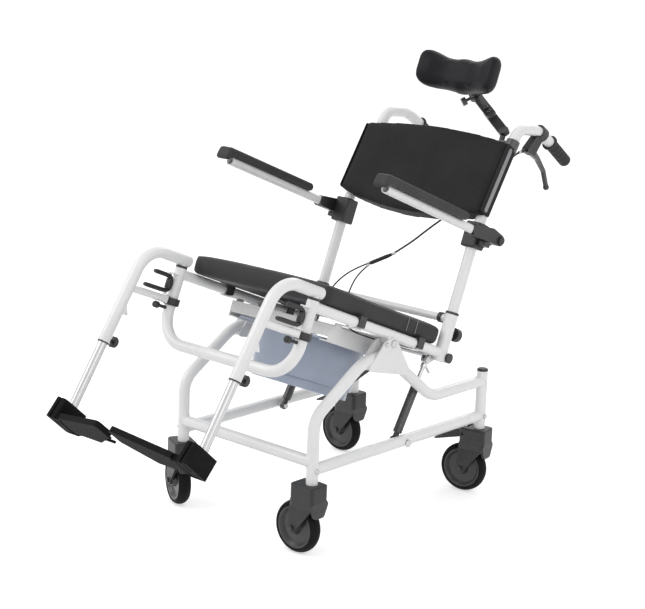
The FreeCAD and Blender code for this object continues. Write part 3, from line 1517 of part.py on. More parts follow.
def build():
    """Write every node."""
    casters = (("front_left", 1, front_post_y, front_left_heading, False),
               ("front_right", -1, front_post_y, front_right_heading, False),
               ("rear_left", 1, rear_post_y, rear_left_heading, True),
               ("rear_right", -1, rear_post_y, rear_right_heading, True))
    for side, name in sides:
        save("side_frame_" + name, [side_frame(side)])
    save("front_crossbar", [front_crossbar()])
    save("base_plugs", base_plugs())
    save("base_bolts", base_bolts())
    for name, side, post_y, heading, braked in casters:
        save("caster_fork_" + name, set_caster(caster_fork(braked), side, post_y, heading))
        save("caster_hub_" + name, set_caster(caster_hub(), side, post_y, heading))
        save("caster_tyre_" + name, set_caster(caster_tyre(), side, post_y, heading))
        if braked:
            save("caster_pedal_" + name, set_caster(caster_pedal(), side, post_y, heading))
    for side, name in sides:
        save("seat_frame_" + name, lean([seat_frame(side)]))
        save("back_post_" + name, lean([back_post(side)]))
        save("arm_tube_" + name, lean([arm_tube_solid(side)]))
        save("arm_pad_" + name, lean(arm_pad(side)))
        save("spring_cylinder_" + name, spring_cylinder(side))
        save("spring_rod_" + name, spring_rod(side))
        save("leg_hanger_" + name, lean(leg_hanger(side)))
        save("leg_knob_" + name, lean(leg_knob(side)))
        save("leg_tube_" + name, lean(leg_tube_solid(side)))
        save("foot_clamp_" + name, lean(foot_clamp(side)))
        save("footplate_" + name, lean(footplate(side)))
        save("release_lever_" + name, lean(release_lever(side)))
    save("seat_cross_tubes", lean(seat_cross_tubes()))
    save("latch_blocks", lean(latch_blocks()))
    save("seat_cushion", lean(seat_cushion()))
    save("seat_clips", lean(seat_clips()))
    save("pan_carrier", lean(pan_carrier()))
    save("commode_pan", lean(commode_pan()))
    save("pan_handle", lean(pan_handle()))
    save("back_pad", lean(back_pad()))
    save("back_fittings", lean(back_fittings()))
    save("handle_grips", lean(handle_grips()))
    save("tilt_lever", lean(tilt_lever()))
    save("tilt_cables", lean(tilt_cables()))
    save("arm_brackets", lean(arm_brackets()))
    save("headrest_mount", lean(headrest_mount()))
    save("headrest_bar", lean(headrest_bar()))
    save("headrest_plate", lean(headrest_plate()))
    save("headrest_pad", lean(headrest_pad()))


build()
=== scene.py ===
"""A tilt-in-space shower commode, dressed over its construction frame.

White coated tubes, black mouldings, soft charcoal pads, a slate blue pan and plain studio light.
"""

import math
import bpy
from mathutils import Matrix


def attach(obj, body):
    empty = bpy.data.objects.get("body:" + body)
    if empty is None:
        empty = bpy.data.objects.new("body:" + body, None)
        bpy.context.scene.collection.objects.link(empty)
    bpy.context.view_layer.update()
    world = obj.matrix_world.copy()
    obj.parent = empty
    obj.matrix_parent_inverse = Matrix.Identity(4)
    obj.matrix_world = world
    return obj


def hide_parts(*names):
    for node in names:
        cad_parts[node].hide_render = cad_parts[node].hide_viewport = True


bl_info = {
    "name": "Tilting Shower Commode",
    "version": (1, 0, 0),
    "blender": (4, 5, 0),
    "location": "View3D > Sidebar > Commode",
    "description": "Finishes, soft pads, cables and a studio for a tilting shower commode",
    "category": "Object",
}

import bmesh
import bpy
from bpy.props import FloatProperty, FloatVectorProperty, IntProperty, PointerProperty
from mathutils import Euler, Matrix, Vector

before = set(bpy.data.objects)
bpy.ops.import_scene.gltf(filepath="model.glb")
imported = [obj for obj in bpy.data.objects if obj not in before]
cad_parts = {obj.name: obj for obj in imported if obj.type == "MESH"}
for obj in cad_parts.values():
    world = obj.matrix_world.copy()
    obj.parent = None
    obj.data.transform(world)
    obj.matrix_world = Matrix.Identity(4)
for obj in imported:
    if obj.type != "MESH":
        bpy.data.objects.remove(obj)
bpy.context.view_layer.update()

# The seat's own axes: across, back along the seat, and up from the seat, in metres
SEAT_LEAN = math.radians(22.0)
SEAT_PIVOT = Vector((0.0, -0.063, 0.464))
SEAT_TURN = Matrix.Rotation(-SEAT_LEAN, 3, "X")

# The tubes that the drawn pieces meet, in metres
POST_X = 0.213
TUBE_RADIUS = 0.014
BACK_POST_RADIUS = 0.0165
RAIL_RADIUS = 0.0125
CROSS_TUBE_RADIUS = 0.010
FRONT_POST_Y = -0.314
REAR_POST_Y = 0.316
LOW_BAR_HEIGHT = 0.207
CROSSBAR_HEIGHT = 0.226
UPPER_BAR_HEIGHT = 0.2985
RAIL_FRONT = -0.300
RAIL_UP = 0.0185
BACK_POST_BACK = 0.211
CROSS_TUBE_UP = 0.104
SEAT_TUBE_TOP = 0.0315
WELD_RADIUS = 0.0017
WELD_RIPPLE = 0.0003
WELD_RIPPLES = 16
WELD_STEPS = 48

# The seat cushion
CUSHION_HALF = 0.222
CUSHION_UNDERSIDE = 0.036
CUSHION_SHRINK = 0.0008
SKIRT_HEAD = 0.050
CUSHION_SLOTS = (0.045, 0.080)
SLOT_WIDTH = 0.006
SLOT_DEPTH = 0.0035
SLOT_REACH = 0.014
# Thin pale grey lines at the cushion's side channels: painted highlights
SHEEN_LINE_RADIUS = 0.0009
SHEEN_LINE_STEPS = ((0.0, 0.0005), (0.05, SHEEN_LINE_RADIUS), (0.95, SHEEN_LINE_RADIUS), (1.0, 0.0005))
SHEEN_LINE_SEGMENTS = 12
SHEEN_LINE_FOOT = 0.040
SHEEN_LINE_HEAD = 0.072

# The back pad, and the walls and pale grey bands in its sides as (out from the side, inset) steps; the bands' grey
# is a painted highlight
PAD_HALF = 0.229
PAD_FRONT = 0.180
PAD_BOTTOM = 0.373
PAD_HEIGHT = 0.193
PAD_THICK = 0.043
PAD_LEAN = math.atan(51.0 / 277.0)
PAD_SHRINK = 0.0006
WALL_END_GAP = 0.0035
WALL_CORNER = 0.006
WALL_STEPS = ((-0.0016, 0.0), (-0.0002, 0.0), (0.0003, 0.0009))
BAND_WIDTH = 0.0135
BAND_END_GAP = 0.009
BAND_STEPS = ((-0.0030, 0.0), (0.0006, 0.0), (0.0010, 0.0005))
CORNER_STEPS = 8

# The other pads, and the edges that are eased
HEAD_SMOOTHING = 16
ARM_CELL = 0.003
ARM_SMOOTHING = 3
HINGE_EDGE = 0.0012
PLATE_EDGE = 0.0016
PLATE_EDGE_ANGLE = math.radians(40.0)

# How a pad's skin resists while it swells
SKIN_STIFFNESS = 12.0
SKIN_BENDING = 1.5

# The release levers, as (back, up) from their pivots in the seat's own axes
LEVER_PIVOT = (-0.327, -0.012)
LEVER_LINE = (
    (-0.0540, 0.0185), (-0.0500, 0.0185), (-0.0340, 0.0185), (-0.0140, 0.0185), (0.0040, 0.0165),
    (0.0095, 0.0), (0.0040, -0.0165), (-0.0140, -0.0185), (-0.0340, -0.0185), (-0.0700, -0.0185),
    (-0.0740, -0.0185),
)
LEVER_RADIUS = 0.0055
LEVER_TIP_SHARE = 0.75
LEVER_BOSS_HALF = 0.0115
LEVER_BOSS_STEPS = ((0.0, 0.0060), (0.03, 0.0070), (0.97, 0.0070), (1.0, 0.0060))

# The cables' collars and splitter, as (share along, radius) steps; a collar's are times the cable's radius
FERRULE_LENGTH = 0.011
FERRULE_STEPS = ((0.0, 1.3), (0.1, 1.6), (0.85, 1.6), (1.0, 1.2))
SPLITTER_END = (-0.0720, 0.2000, 0.1950)
SPLITTER_STEPS = ((0.0, 0.0030), (0.04, 0.0042), (0.18, 0.0044), (0.2, 0.0050), (0.92, 0.0050),
                  (0.97, 0.0044), (1.0, 0.0032))
SPLITTER_CAP_LENGTH = 0.009
SPLITTER_CAP_STEPS = ((0.0, 0.0030), (0.1, 0.0036), (0.9, 0.0036), (1.0, 0.0032))

# Where the cables run, in the seat's own axes
MAIN_CABLE = (
    (0.2130, 0.3000, 0.5610), (0.2130, 0.2760, 0.5475), (0.2000, 0.2620, 0.5050),
    (0.1780, 0.2550, 0.4580), (0.1440, 0.2480, 0.4140), (0.1040, 0.2400, 0.3700),
    (0.0600, 0.2270, 0.3180), (0.0220, 0.2140, 0.2660), (-0.0150, 0.2050, 0.2300),
)
FAR_CABLE = (
    (-0.0710, 0.2000, 0.1980), (-0.1040, 0.1970, 0.1780), (-0.1380, 0.1955, 0.1520),
    (-0.1650, 0.1955, 0.1180), (-0.1800, 0.1955, 0.0780), (-0.1850, 0.1955, 0.0420),
    (-0.1845, 0.1960, 0.0130),
)
NEAR_CABLE = (
    (-0.0730, 0.2000, 0.1920), (-0.0920, 0.1970, 0.1680), (-0.1040, 0.1955, 0.1380),
    (-0.1085, 0.1955, 0.1040), (-0.1070, 0.1955, 0.0700), (-0.0980, 0.1955, 0.0400),
    (-0.0740, 0.1955, 0.0200), (-0.0300, 0.1955, 0.0110), (0.0300, 0.1960, 0.0100),
    (0.0900, 0.1955, 0.0070), (0.1400, 0.1955, 0.0090), (0.1710, 0.1960, 0.0140),
)
# Name, route, radius and length
CABLES = (("tilt_cable_main", MAIN_CABLE, 0.0025, 0.427), ("tilt_cable_far", FAR_CABLE, 0.0020, 0.232),
          ("tilt_cable_near", NEAR_CABLE, 0.0020, 0.438))

# The studio: each lamp's name, place, size and the setting that holds its power
LAMPS = (("key_lamp", (-2.6, -3.4, 4.2), 3.2, "key_power"), ("fill_lamp", (4.2, -1.2, 2.6), 3.0, "fill_power"),
         ("rim_lamp", (-1.2, 4.0, 3.4), 2.4, "fill_power"))
LAMP_AIM = Vector((0.0, 0.0, 0.55))
FLOOR_HALF = 60.0
FLOOR_GLOW = 0.5
SENSOR_WIDTH = 36.0
VIEW_REACH = 200.0
WHITE = (1.0, 1.0, 1.0, 1.0)


def seat_point(across, back, up):
    """A point of the seat's own axes, carried to the leaned chair."""
    return SEAT_PIVOT + SEAT_TURN @ Vector((across, back, up))


def seat_axes(point):
    """A point of the chair in the seat's own axes."""
    return SEAT_TURN.inverted() @ (Vector(point) - SEAT_PIVOT)


def pad_point(across, deep, high):
    """A point of the back pad: across, deep behind its front face, and high above its lower corners."""
    back = PAD_FRONT + deep * math.cos(PAD_LEAN) + high * math.sin(PAD_LEAN)
    up = PAD_BOTTOM - deep * math.sin(PAD_LEAN) + high * math.cos(PAD_LEAN)
    return seat_point(across, back, up)


# Settings

class CommodeFinishes(bpy.types.PropertyGroup):
    """Colours of the chair's finishes."""

    frame_colour: FloatVectorProperty(
        name="Frame coat", description="Colour of the coated tubes", subtype="COLOR", size=4,
        min=0.0, max=1.0, default=(0.88, 0.88, 0.88, 1.0))
    pad_colour: FloatVectorProperty(
        name="Pad skin", description="Colour of the moulded foam pads", subtype="COLOR", size=4,
        min=0.0, max=1.0, default=(0.022, 0.022, 0.023, 1.0))
    cover_colour: FloatVectorProperty(
        name="Headrest cover", description="Colour of the headrest's soft cover", subtype="COLOR", size=4,
        min=0.0, max=1.0, default=(0.016, 0.016, 0.019, 1.0))
    pan_colour: FloatVectorProperty(
        name="Pan plastic", description="Colour of the pan", subtype="COLOR", size=4,
        min=0.0, max=1.0, default=(0.34, 0.385, 0.485, 1.0))
    moulding_colour: FloatVectorProperty(
        name="Black mouldings", description="Colour of the moulded black parts", subtype="COLOR", size=4,
        min=0.0, max=1.0, default=(0.013, 0.013, 0.0145, 1.0))
    tyre_colour: FloatVectorProperty(
        name="Tyres", description="Colour of the casters' tyres", subtype="COLOR", size=4,
        min=0.0, max=1.0, default=(0.006, 0.006, 0.0065, 1.0))


class CommodeSoftness(bpy.types.PropertyGroup):
    """How the padded pieces are made."""

    seat_cell: FloatProperty(
        name="Seat mesh cell", description="Cell size of the seat cushion before it swells",
        subtype="DISTANCE", unit="LENGTH", min=0.003, max=0.02, default=0.0065)
    back_cell: FloatProperty(
        name="Back mesh cell", description="Cell size of the back pad before it swells",
        subtype="DISTANCE", unit="LENGTH", min=0.002, max=0.02, default=0.0045)
    head_cell: FloatProperty(
        name="Headrest mesh cell", description="Cell size of the headrest before it swells",
        subtype="DISTANCE", unit="LENGTH", min=0.002, max=0.02, default=0.0045)
    pressure: FloatProperty(
        name="Foam pressure", description="Pressure that fills the pads' skins", min=0.0, max=20.0, default=4.0)
    swell_limit: FloatProperty(
        name="Swell limit", description="The furthest that a point of a pad may move out",
        subtype="DISTANCE", unit="LENGTH", min=0.0, max=0.03, default=0.005)
    swell_frames: IntProperty(
        name="Swell frames", description="Steps of the cloth simulation", min=2, max=60, default=20)


class CommodeStudio(bpy.types.PropertyGroup):
    """The camera, the lamps and the floor."""

    camera_place: FloatVectorProperty(
        name="Camera place", description="Where the camera stands", subtype="TRANSLATION", unit="LENGTH",
        size=3, default=(2.65705, -3.03016, 1.47564))
    camera_turn: FloatProperty(
        name="Camera heading", description="How far the camera is turned left from the back wall",
        subtype="ANGLE", unit="ROTATION", default=math.radians(41.82))
    camera_pitch: FloatProperty(
        name="Camera pitch", description="How far the camera looks down", subtype="ANGLE", unit="ROTATION",
        default=math.radians(13.55))
    camera_roll: FloatProperty(
        name="Camera roll", description="How far the camera leans to its side", subtype="ANGLE",
        unit="ROTATION", default=math.radians(1.96))
    camera_lens: FloatProperty(
        name="Camera lens", description="Focal length in millimetres", min=10.0, max=300.0, default=94.555)
    key_power: FloatProperty(
        name="Key lamp", description="Power of the large lamp in watts", unit="POWER", min=0.0, default=86.0)
    fill_power: FloatProperty(
        name="Fill lamps", description="Power of the fill and rim lamps in watts", unit="POWER", min=0.0,
        default=33.0)
    sky_strength: FloatProperty(
        name="Room light", description="Strength of the even light from the room", min=0.0, default=0.68)
    floor_colour: FloatVectorProperty(
        name="Floor", description="Colour of the floor", subtype="COLOR", size=4, min=0.0, max=1.0,
        default=(0.86, 0.86, 0.86, 1.0))


# Shader building

def set_input(tree, made, name, value):
    """Link a socket to a node's input, or set the input to a plain value."""
    if isinstance(value, bpy.types.NodeSocket):
        tree.links.new(value, made.inputs[name])
    else:
        made.inputs[name].default_value = value


def place(tree, kind, inputs=None, **settings):
    """Add a node, set its fields, and set or link its inputs by name."""
    made = tree.nodes.new(kind)
    for name, value in settings.items():
        setattr(made, name, value)
    for name, value in (inputs or {}).items():
        set_input(tree, made, name, value)
    return made


def new_group(name, inputs, outputs):
    """An empty shader group with named sockets, and its two end nodes."""
    group = bpy.data.node_groups.new(name, "ShaderNodeTree")
    for socket, kind, value in inputs:
        made = group.interface.new_socket(name=socket, in_out="INPUT", socket_type=kind)
        made.default_value = value
    for socket, kind in outputs:
        group.interface.new_socket(name=socket, in_out="OUTPUT", socket_type=kind)
    return group, group.nodes.new("NodeGroupInput").outputs, group.nodes.new("NodeGroupOutput")


def put_out(group, end, sockets):
    """Link sockets to a group's outputs by name."""
    for name, socket in sockets.items():
        group.links.new(socket, end.inputs[name])
    return group


def blend_colours(tree, mask, first, second):
    """A colour mix whose three inputs are sockets or values."""
    made = place(tree, "ShaderNodeMix", data_type="RGBA")
    for index, value in ((0, mask), (6, first), (7, second)):
        set_input(tree, made, index, value)
    return made.outputs[2]


def mapped(tree, value, low, high, to_low, to_high):
    """A value mapped from one range to another."""
    made = place(tree, "ShaderNodeMapRange", {"Value": value, "From Min": low, "From Max": high,
                                              "To Min": to_low, "To Max": to_high})
    return made.outputs["Result"]


def reckoned(tree, operation, first, second, clamp=False):
    """The result of one operation on two sockets or values."""
    return place(tree, "ShaderNodeMath", {0: first, 1: second}, operation=operation, use_clamp=clamp).outputs[0]


def own_coordinates(tree):
    """The object's own coordinates."""
    return place(tree, "ShaderNodeTexCoord").outputs["Object"]


def noise(tree, coordinates, scale, detail):
    """Noise of a scale per metre."""
    made = place(tree, "ShaderNodeTexNoise", {"Vector": coordinates, "Scale": scale, "Detail": detail})
    return made.outputs["Fac"]


def soft_skin_group():
    """Pebbled skin of moulded foam or a soft cover: colour with painted shade in the pits, roughness and grain
    height.
    """
    group, start, end = new_group(
        "soft_skin",
        [("Dark", "NodeSocketColor", (0.04, 0.04, 0.04, 1)), ("Light", "NodeSocketColor", (0.06, 0.06, 0.06, 1)),
         ("Grain", "NodeSocketFloat", 900.0), ("Roughness", "NodeSocketFloat", 0.55)],
        [("Color", "NodeSocketColor"), ("Roughness", "NodeSocketFloat"), ("Height", "NodeSocketFloat")])
    here = own_coordinates(group)
    pebbles = place(group, "ShaderNodeTexVoronoi", {"Vector": here, "Scale": start["Grain"]},
                    feature="SMOOTH_F1").outputs["Distance"]
    broad = noise(group, here, 9.0, 4.0)
    fine = noise(group, here, 240.0, 3.0)
    mask = mapped(group, broad, 0.35, 0.65, 0.0, 1.0)
    colour = blend_colours(group, mask, start["Dark"], start["Light"])
    # The colour is darkened in the grain's pits: painted shade.
    pit_shade = mapped(group, pebbles, 0.0, 0.6, 0.75, 1.08)
    shade = place(group, "ShaderNodeVectorMath", {0: colour, "Scale": pit_shade}, operation="SCALE")
    spread = reckoned(group, "MULTIPLY", reckoned(group, "ADD", fine, -0.5), 0.25)
    return put_out(group, end, {"Color": shade.outputs["Vector"],
                                "Roughness": reckoned(group, "ADD", spread, start["Roughness"]),
                                "Height": reckoned(group, "ADD", pebbles, fine)})


def coat_group():
    """Powder coat or moulded gloss: a faint cloud in the colour and an orange peel height."""
    group, start, end = new_group(
        "coat_variation",
        [("Base", "NodeSocketColor", (0.8, 0.8, 0.8, 1)), ("Cloud", "NodeSocketColor", (0.7, 0.7, 0.7, 1)),
         ("Smooth", "NodeSocketFloat", 0.25), ("Dull", "NodeSocketFloat", 0.4)],
        [("Color", "NodeSocketColor"), ("Roughness", "NodeSocketFloat"), ("Height", "NodeSocketFloat")])
    here = own_coordinates(group)
    cloud = noise(group, here, 7.0, 5.0)
    mask = mapped(group, cloud, 0.45, 0.75, 0.0, 1.0)
    return put_out(group, end, {"Color": blend_colours(group, mask, start["Base"], start["Cloud"]),
                                "Roughness": mapped(group, cloud, 0.3, 0.7, start["Smooth"], start["Dull"]),
                                "Height": noise(group, here, 420.0, 1.0)})


def cover_group(name, inputs, make_mask):
    """A second colour over the first, by a mask that is broken up and scaled by an amount."""
    group, start, end = new_group(name, inputs, [("Color", "NodeSocketColor")])
    broken = make_mask(group, start)
    mask = reckoned(group, "MULTIPLY", broken, start["Amount"], clamp=True)
    return put_out(group, end, {"Color": blend_colours(group, mask, start["Color"], start[1])})


def worn_edges(group, start):
    """A mask on sharp edges, broken up by noise."""
    edges = mapped(group, place(group, "ShaderNodeNewGeometry").outputs["Pointiness"], 0.51, 0.60, 0.0, 1.0)
    return reckoned(group, "MULTIPLY", edges, noise(group, own_coordinates(group), 90.0, 6.0))


def low_places(group, start):
    """A mask that grows toward the floor below the given reach, in clumps."""
    here = own_coordinates(group)
    split = place(group, "ShaderNodeSeparateXYZ", {"Vector": here})
    low = mapped(group, split.outputs["Z"], start["Reach"], 0.0, 0.0, 1.0)
    return reckoned(group, "MULTIPLY", low, noise(group, here, 35.0, 6.0))


def wear_group():
    """Rubbed edges: the worn colour on sharp edges."""
    return cover_group(
        "edge_wear",
        [("Color", "NodeSocketColor", (0.03, 0.03, 0.03, 1)), ("Worn", "NodeSocketColor", (0.2, 0.2, 0.2, 1)),
         ("Amount", "NodeSocketFloat", 0.5)], worn_edges)


def dust_group():
    """A thin dust that gathers low on the chair."""
    return cover_group(
        "floor_dust",
        [("Color", "NodeSocketColor", (0.03, 0.03, 0.03, 1)), ("Dust", "NodeSocketColor", (0.16, 0.15, 0.14, 1)),
         ("Reach", "NodeSocketFloat", 0.12), ("Amount", "NodeSocketFloat", 0.3)], low_places)


def drawn_group():
    """Fine drawing lines along a tube: noise stretched along one turned axis."""
    group, start, end = new_group(
        "drawn_lines",
        [("Stretch", "NodeSocketVector", (700.0, 700.0, 6.0)), ("Smooth", "NodeSocketFloat", 0.2),
         ("Dull", "NodeSocketFloat", 0.34), ("Turn", "NodeSocketVector", (0.0, 0.0, 0.0))],
        [("Roughness", "NodeSocketFloat"), ("Height", "NodeSocketFloat")])
    turned = place(group, "ShaderNodeMapping", {"Vector": own_coordinates(group), "Rotation": start["Turn"]})
    stretched = place(group, "ShaderNodeVectorMath", {0: turned.outputs["Vector"], 1: start["Stretch"]},
                      operation="MULTIPLY")
    lines = noise(group, stretched.outputs["Vector"], 1.0, 3.0)
    return put_out(group, end, {"Roughness": mapped(group, lines, 0.3, 0.7, start["Smooth"], start["Dull"]),
                                "Height": lines})


GROUP_MAKERS = {"soft_skin": soft_skin_group, "coat_variation": coat_group, "edge_wear": wear_group,
                "floor_dust": dust_group, "drawn_lines": drawn_group}


def use_group(tree, name, inputs):
    """Place a shared shader group in a material, building the group the first time."""
    group = bpy.data.node_groups.get(name) or GROUP_MAKERS[name]()
    return place(tree, "ShaderNodeGroup", inputs, node_tree=group).outputs


def new_material(name, sockets):
    """A material with one Principled shader, its uniform sockets set to plain values."""
    material = bpy.data.materials.new(name)
    material.use_nodes = True
    shader = material.node_tree.nodes["Principled BSDF"]
    for socket, value in sockets.items():
        shader.inputs[socket].default_value = value
    material.diffuse_color = sockets.get("Base Color", (0.5, 0.5, 0.5, 1.0))
    return material, material.node_tree, shader


def link_surface(tree, shader, colour, surface, bump):
    """Feed a colour, and a group's roughness and height, into the shader; the bump is in metres."""
    tree.links.new(colour, shader.inputs["Base Color"])
    tree.links.new(surface["Roughness"], shader.inputs["Roughness"])
    raised = place(tree, "ShaderNodeBump", {"Height": surface["Height"], "Distance": bump, "Strength": 1.0})
    tree.links.new(raised.outputs["Normal"], shader.inputs["Normal"])


def layered(name, sockets, base, bump, dust=None, wear=None):
    """A material of one base group, with dust and then wear over its colour."""
    material, tree, shader = new_material(name, sockets)
    surface = use_group(tree, *base)
    colour = surface["Color"]
    for cover, inputs in (("floor_dust", dust), ("edge_wear", wear)):
        if inputs:
            colour = use_group(tree, cover, {"Color": colour, **inputs})["Color"]
    link_surface(tree, shader, colour, surface, bump)
    return material


def coat(base, cloud, smooth, dull):
    """A smooth coat: two colours and the two ends of its roughness."""
    return "coat_variation", {"Base": base, "Cloud": cloud, "Smooth": smooth, "Dull": dull}


def skin(dark, light, grain, roughness):
    """A pebbled skin: two colours, pebbles per metre and roughness."""
    return "soft_skin", {"Dark": dark, "Light": light, "Grain": grain, "Roughness": roughness}


def grey(level):
    """An even grey."""
    return (level, level, level, 1.0)


def scaled(colour, factor):
    """A colour made lighter or darker, and opaque."""
    return tuple(min(1.0, channel * factor) for channel in colour[:3]) + (1.0,)


def white_coat(settings):
    """Glossy white powder coat on the steel tubes."""
    white = settings.frame_colour
    return layered("white_powder_coat", {"Coat Weight": 0.35, "Coat Roughness": 0.12},
                   coat(white, scaled(white, 0.93), 0.26, 0.38), bump=0.00005,
                   wear={"Worn": scaled(white, 0.72), "Amount": 0.35})


def bright_tube(settings):
    """Satin anodised tube with fine lines along its length."""
    material, tree, shader = new_material("satin_anodised_tube", {"Metallic": 1.0, "Anisotropic": 0.4})
    lines = use_group(tree, "drawn_lines", {"Stretch": (900.0, 900.0, 9.0), "Smooth": 0.24, "Dull": 0.40,
                                            "Turn": (math.radians(33.0), 0.0, 0.0)})
    colour = blend_colours(tree, lines["Height"], (0.46, 0.46, 0.47, 1), grey(0.64))
    link_surface(tree, shader, colour, lines, bump=0.00003)
    return material


def plated_steel(settings):
    """Bright zinc plate on the bolts and the rods, dulled in patches."""
    return layered("zinc_plated_steel", {"Metallic": 1.0},
                   coat((0.52, 0.52, 0.53, 1), (0.36, 0.36, 0.37, 1), 0.20, 0.42), bump=0.00004,
                   wear={"Worn": grey(0.75), "Amount": 0.8})


def black_steel(settings):
    """Black coated steel of the headrest bars, the spring tubes and the tilt lever."""
    base = scaled(settings.moulding_colour, 0.8)
    return layered("black_coated_steel", {"Coat Weight": 0.3, "Coat Roughness": 0.2},
                   coat(base, scaled(base, 1.5), 0.28, 0.45), bump=0.00006,
                   wear={"Worn": grey(0.16), "Amount": 0.7})


def black_moulding(settings):
    """Fine-textured black nylon of the casters, clamps and brackets."""
    black = settings.moulding_colour
    return layered("black_moulded_nylon", {"Specular IOR Level": 0.45},
                   skin(black, scaled(black, 1.35), 1500.0, 0.42), bump=0.00006,
                   dust={"Reach": 0.16, "Amount": 0.22}, wear={"Worn": (0.11, 0.11, 0.115, 1), "Amount": 0.4})


def footplate_shaded_moulding(settings):
    """Coarse black moulding of the footplates and their clamps, darkened below the other mouldings as painted shade.
    """
    black = settings.moulding_colour
    return layered("footplate_coarse_nylon", {"Specular IOR Level": 0.04},
                   # The black is cut to under half the other mouldings' as painted shade for the footplates'
                   # shadowed undersides.
                   skin(scaled(black, 0.45), scaled(black, 0.75), 700.0, 0.62), bump=0.00012,
                   wear={"Worn": (0.06, 0.06, 0.062, 1), "Amount": 0.2})


def hub_plastic(settings):
    """Smooth glossy black of the wheel discs."""
    black = settings.moulding_colour
    return layered("wheel_disc_plastic", {"Coat Weight": 0.25, "Coat Roughness": 0.25},
                   coat(scaled(black, 1.1), scaled(black, 1.6), 0.30, 0.44), bump=0.00005,
                   dust={"Reach": 0.11, "Amount": 0.3})


def tyre_rubber(settings):
    """Black wheel rubber with a little dust on it."""
    black = settings.tyre_colour
    return layered("scuffed_tyre_rubber", {"Specular IOR Level": 0.08},
                   skin(black, scaled(black, 1.7), 700.0, 0.62), bump=0.00012,
                   dust={"Dust": (0.13, 0.125, 0.12, 1), "Reach": 0.13, "Amount": 0.1})


def foam_skin(name, colour, gloss):
    """Soft pebbled skin of the moulded seat, back and arm pads."""
    return layered(name, {"Sheen Weight": 0.03, "Sheen Roughness": 0.5, "Specular IOR Level": gloss},
                   skin(scaled(colour, 0.88), scaled(colour, 1.14), 620.0, 0.56), bump=0.00016)


# One foam colour for every pad: darker on the back pad as painted shade, lighter on the seat and arms as painted
# light.
def back_pad_shaded_skin(settings):
    """The back pad's skin, the foam colour darkened as painted shade."""
    return foam_skin("back_pad_foam_skin", scaled(settings.pad_colour, 0.85), 0.1)


def seat_lit_skin(settings):
    """The seat cushion's skin, the foam colour lightened as painted light."""
    return foam_skin("seat_pad_foam_skin", scaled(settings.pad_colour, 1.8), 0.2)


def arm_lit_skin(settings):
    """The arm pads' skin, the foam colour lightened further as painted light on their top faces."""
    return foam_skin("arm_pad_foam_skin", scaled(settings.pad_colour, 2.1), 0.22)


def cover_skin(settings):
    """Smooth soft cover of the headrest with a gentle sheen."""
    cover = settings.cover_colour
    return layered("headrest_soft_cover", {"Sheen Weight": 0.03, "Sheen Roughness": 0.4, "Specular IOR Level": 0.12},
                   skin(scaled(cover, 0.8), scaled(cover, 1.25), 420.0, 0.44), bump=0.00018)


def pan_plastic(settings):
    """Slate blue polypropylene, glossy and faintly clouded."""
    blue = settings.pan_colour
    return layered("slate_blue_polypropylene",
                   {"Coat Weight": 0.15, "Coat Roughness": 0.2, "Subsurface Weight": 0.05},
                   coat(blue, scaled(blue, 0.82), 0.28, 0.42), bump=0.00008,
                   wear={"Worn": scaled(blue, 1.6), "Amount": 0.5})


def highlight_grey(settings):
    """Satin pale grey of the back pad's bands and the cushion's channel lines: painted highlights."""
    # The pad colour raised twelvefold to a pale grey: painted highlight.
    base = scaled(settings.pad_colour, 12.0)
    return layered("grey_band_plastic", {"Coat Weight": 0.1}, coat(base, scaled(base, 0.8), 0.35, 0.5),
                   bump=0.00006)


def grip_rubber(settings):
    """Matt rubber of the push handles' sleeves and the cables' jacket."""
    black = settings.moulding_colour
    return layered("matt_grip_rubber", {"Specular IOR Level": 0.35},
                   skin(scaled(black, 1.05), scaled(black, 1.7), 1100.0, 0.6), bump=0.0001,
                   wear={"Worn": grey(0.08), "Amount": 0.5})


MATERIAL_MAKERS = {
    "white_coat": white_coat, "bright_tube": bright_tube, "plated_steel": plated_steel,
    "black_steel": black_steel, "black_moulding": black_moulding, "footplate_shaded_moulding": footplate_shaded_moulding,
    "hub_plastic": hub_plastic, "tyre_rubber": tyre_rubber, "back_pad_shaded_skin": back_pad_shaded_skin, "seat_lit_skin": seat_lit_skin,
    "arm_lit_skin": arm_lit_skin, "cover_skin": cover_skin, "pan_plastic": pan_plastic, "highlight_grey": highlight_grey,
    "grip_rubber": grip_rubber,
}
made_materials = {}


def finish_of(name):
    """A finish by its short name, built from the scene's settings the first time."""
    if name not in made_materials:
        made_materials[name] = MATERIAL_MAKERS[name](bpy.context.scene.commode_finishes)
    return made_materials[name]


def dress(piece, name):
    """Give a piece one finish on all its faces."""
    piece.data.materials.clear()
    piece.data.materials.append(finish_of(name))


def nodes_that_start(starts):
    """The construction nodes whose names start so."""
    return [piece for name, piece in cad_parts.items() if name.startswith(starts)]


def dress_nodes(starts, name):
    """Give every construction node whose name starts so one finish."""
    for piece in nodes_that_start(starts):
        dress(piece, name)


# Mesh building

def add_piece(name, data, body):
    """Put a mesh or a curve in the scene as a piece that rides on a body."""
    piece = bpy.data.objects.new(name, data)
    bpy.context.scene.collection.objects.link(piece)
    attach(piece, body)
    return piece


def mesh_of(built, name):
    """Turn a finished bmesh into a mesh."""
    mesh = bpy.data.meshes.new(name)
    built.to_mesh(mesh)
    built.free()
    return mesh


def stitch(built, rings):
    """Join each ring of points to the next with faces."""
    for lower, upper in zip(rings, rings[1:]):
        for index in range(len(lower)):
            following = (index + 1) % len(lower)
            built.faces.new((lower[index], lower[following], upper[following], upper[index]))


def ease_edges(piece, width, steps):
    """Round a piece's sharp edges."""
    edges = piece.modifiers.new("eased_edges", "BEVEL")
    edges.width = width
    edges.segments = steps
    edges.limit_method = "ANGLE"
    return edges


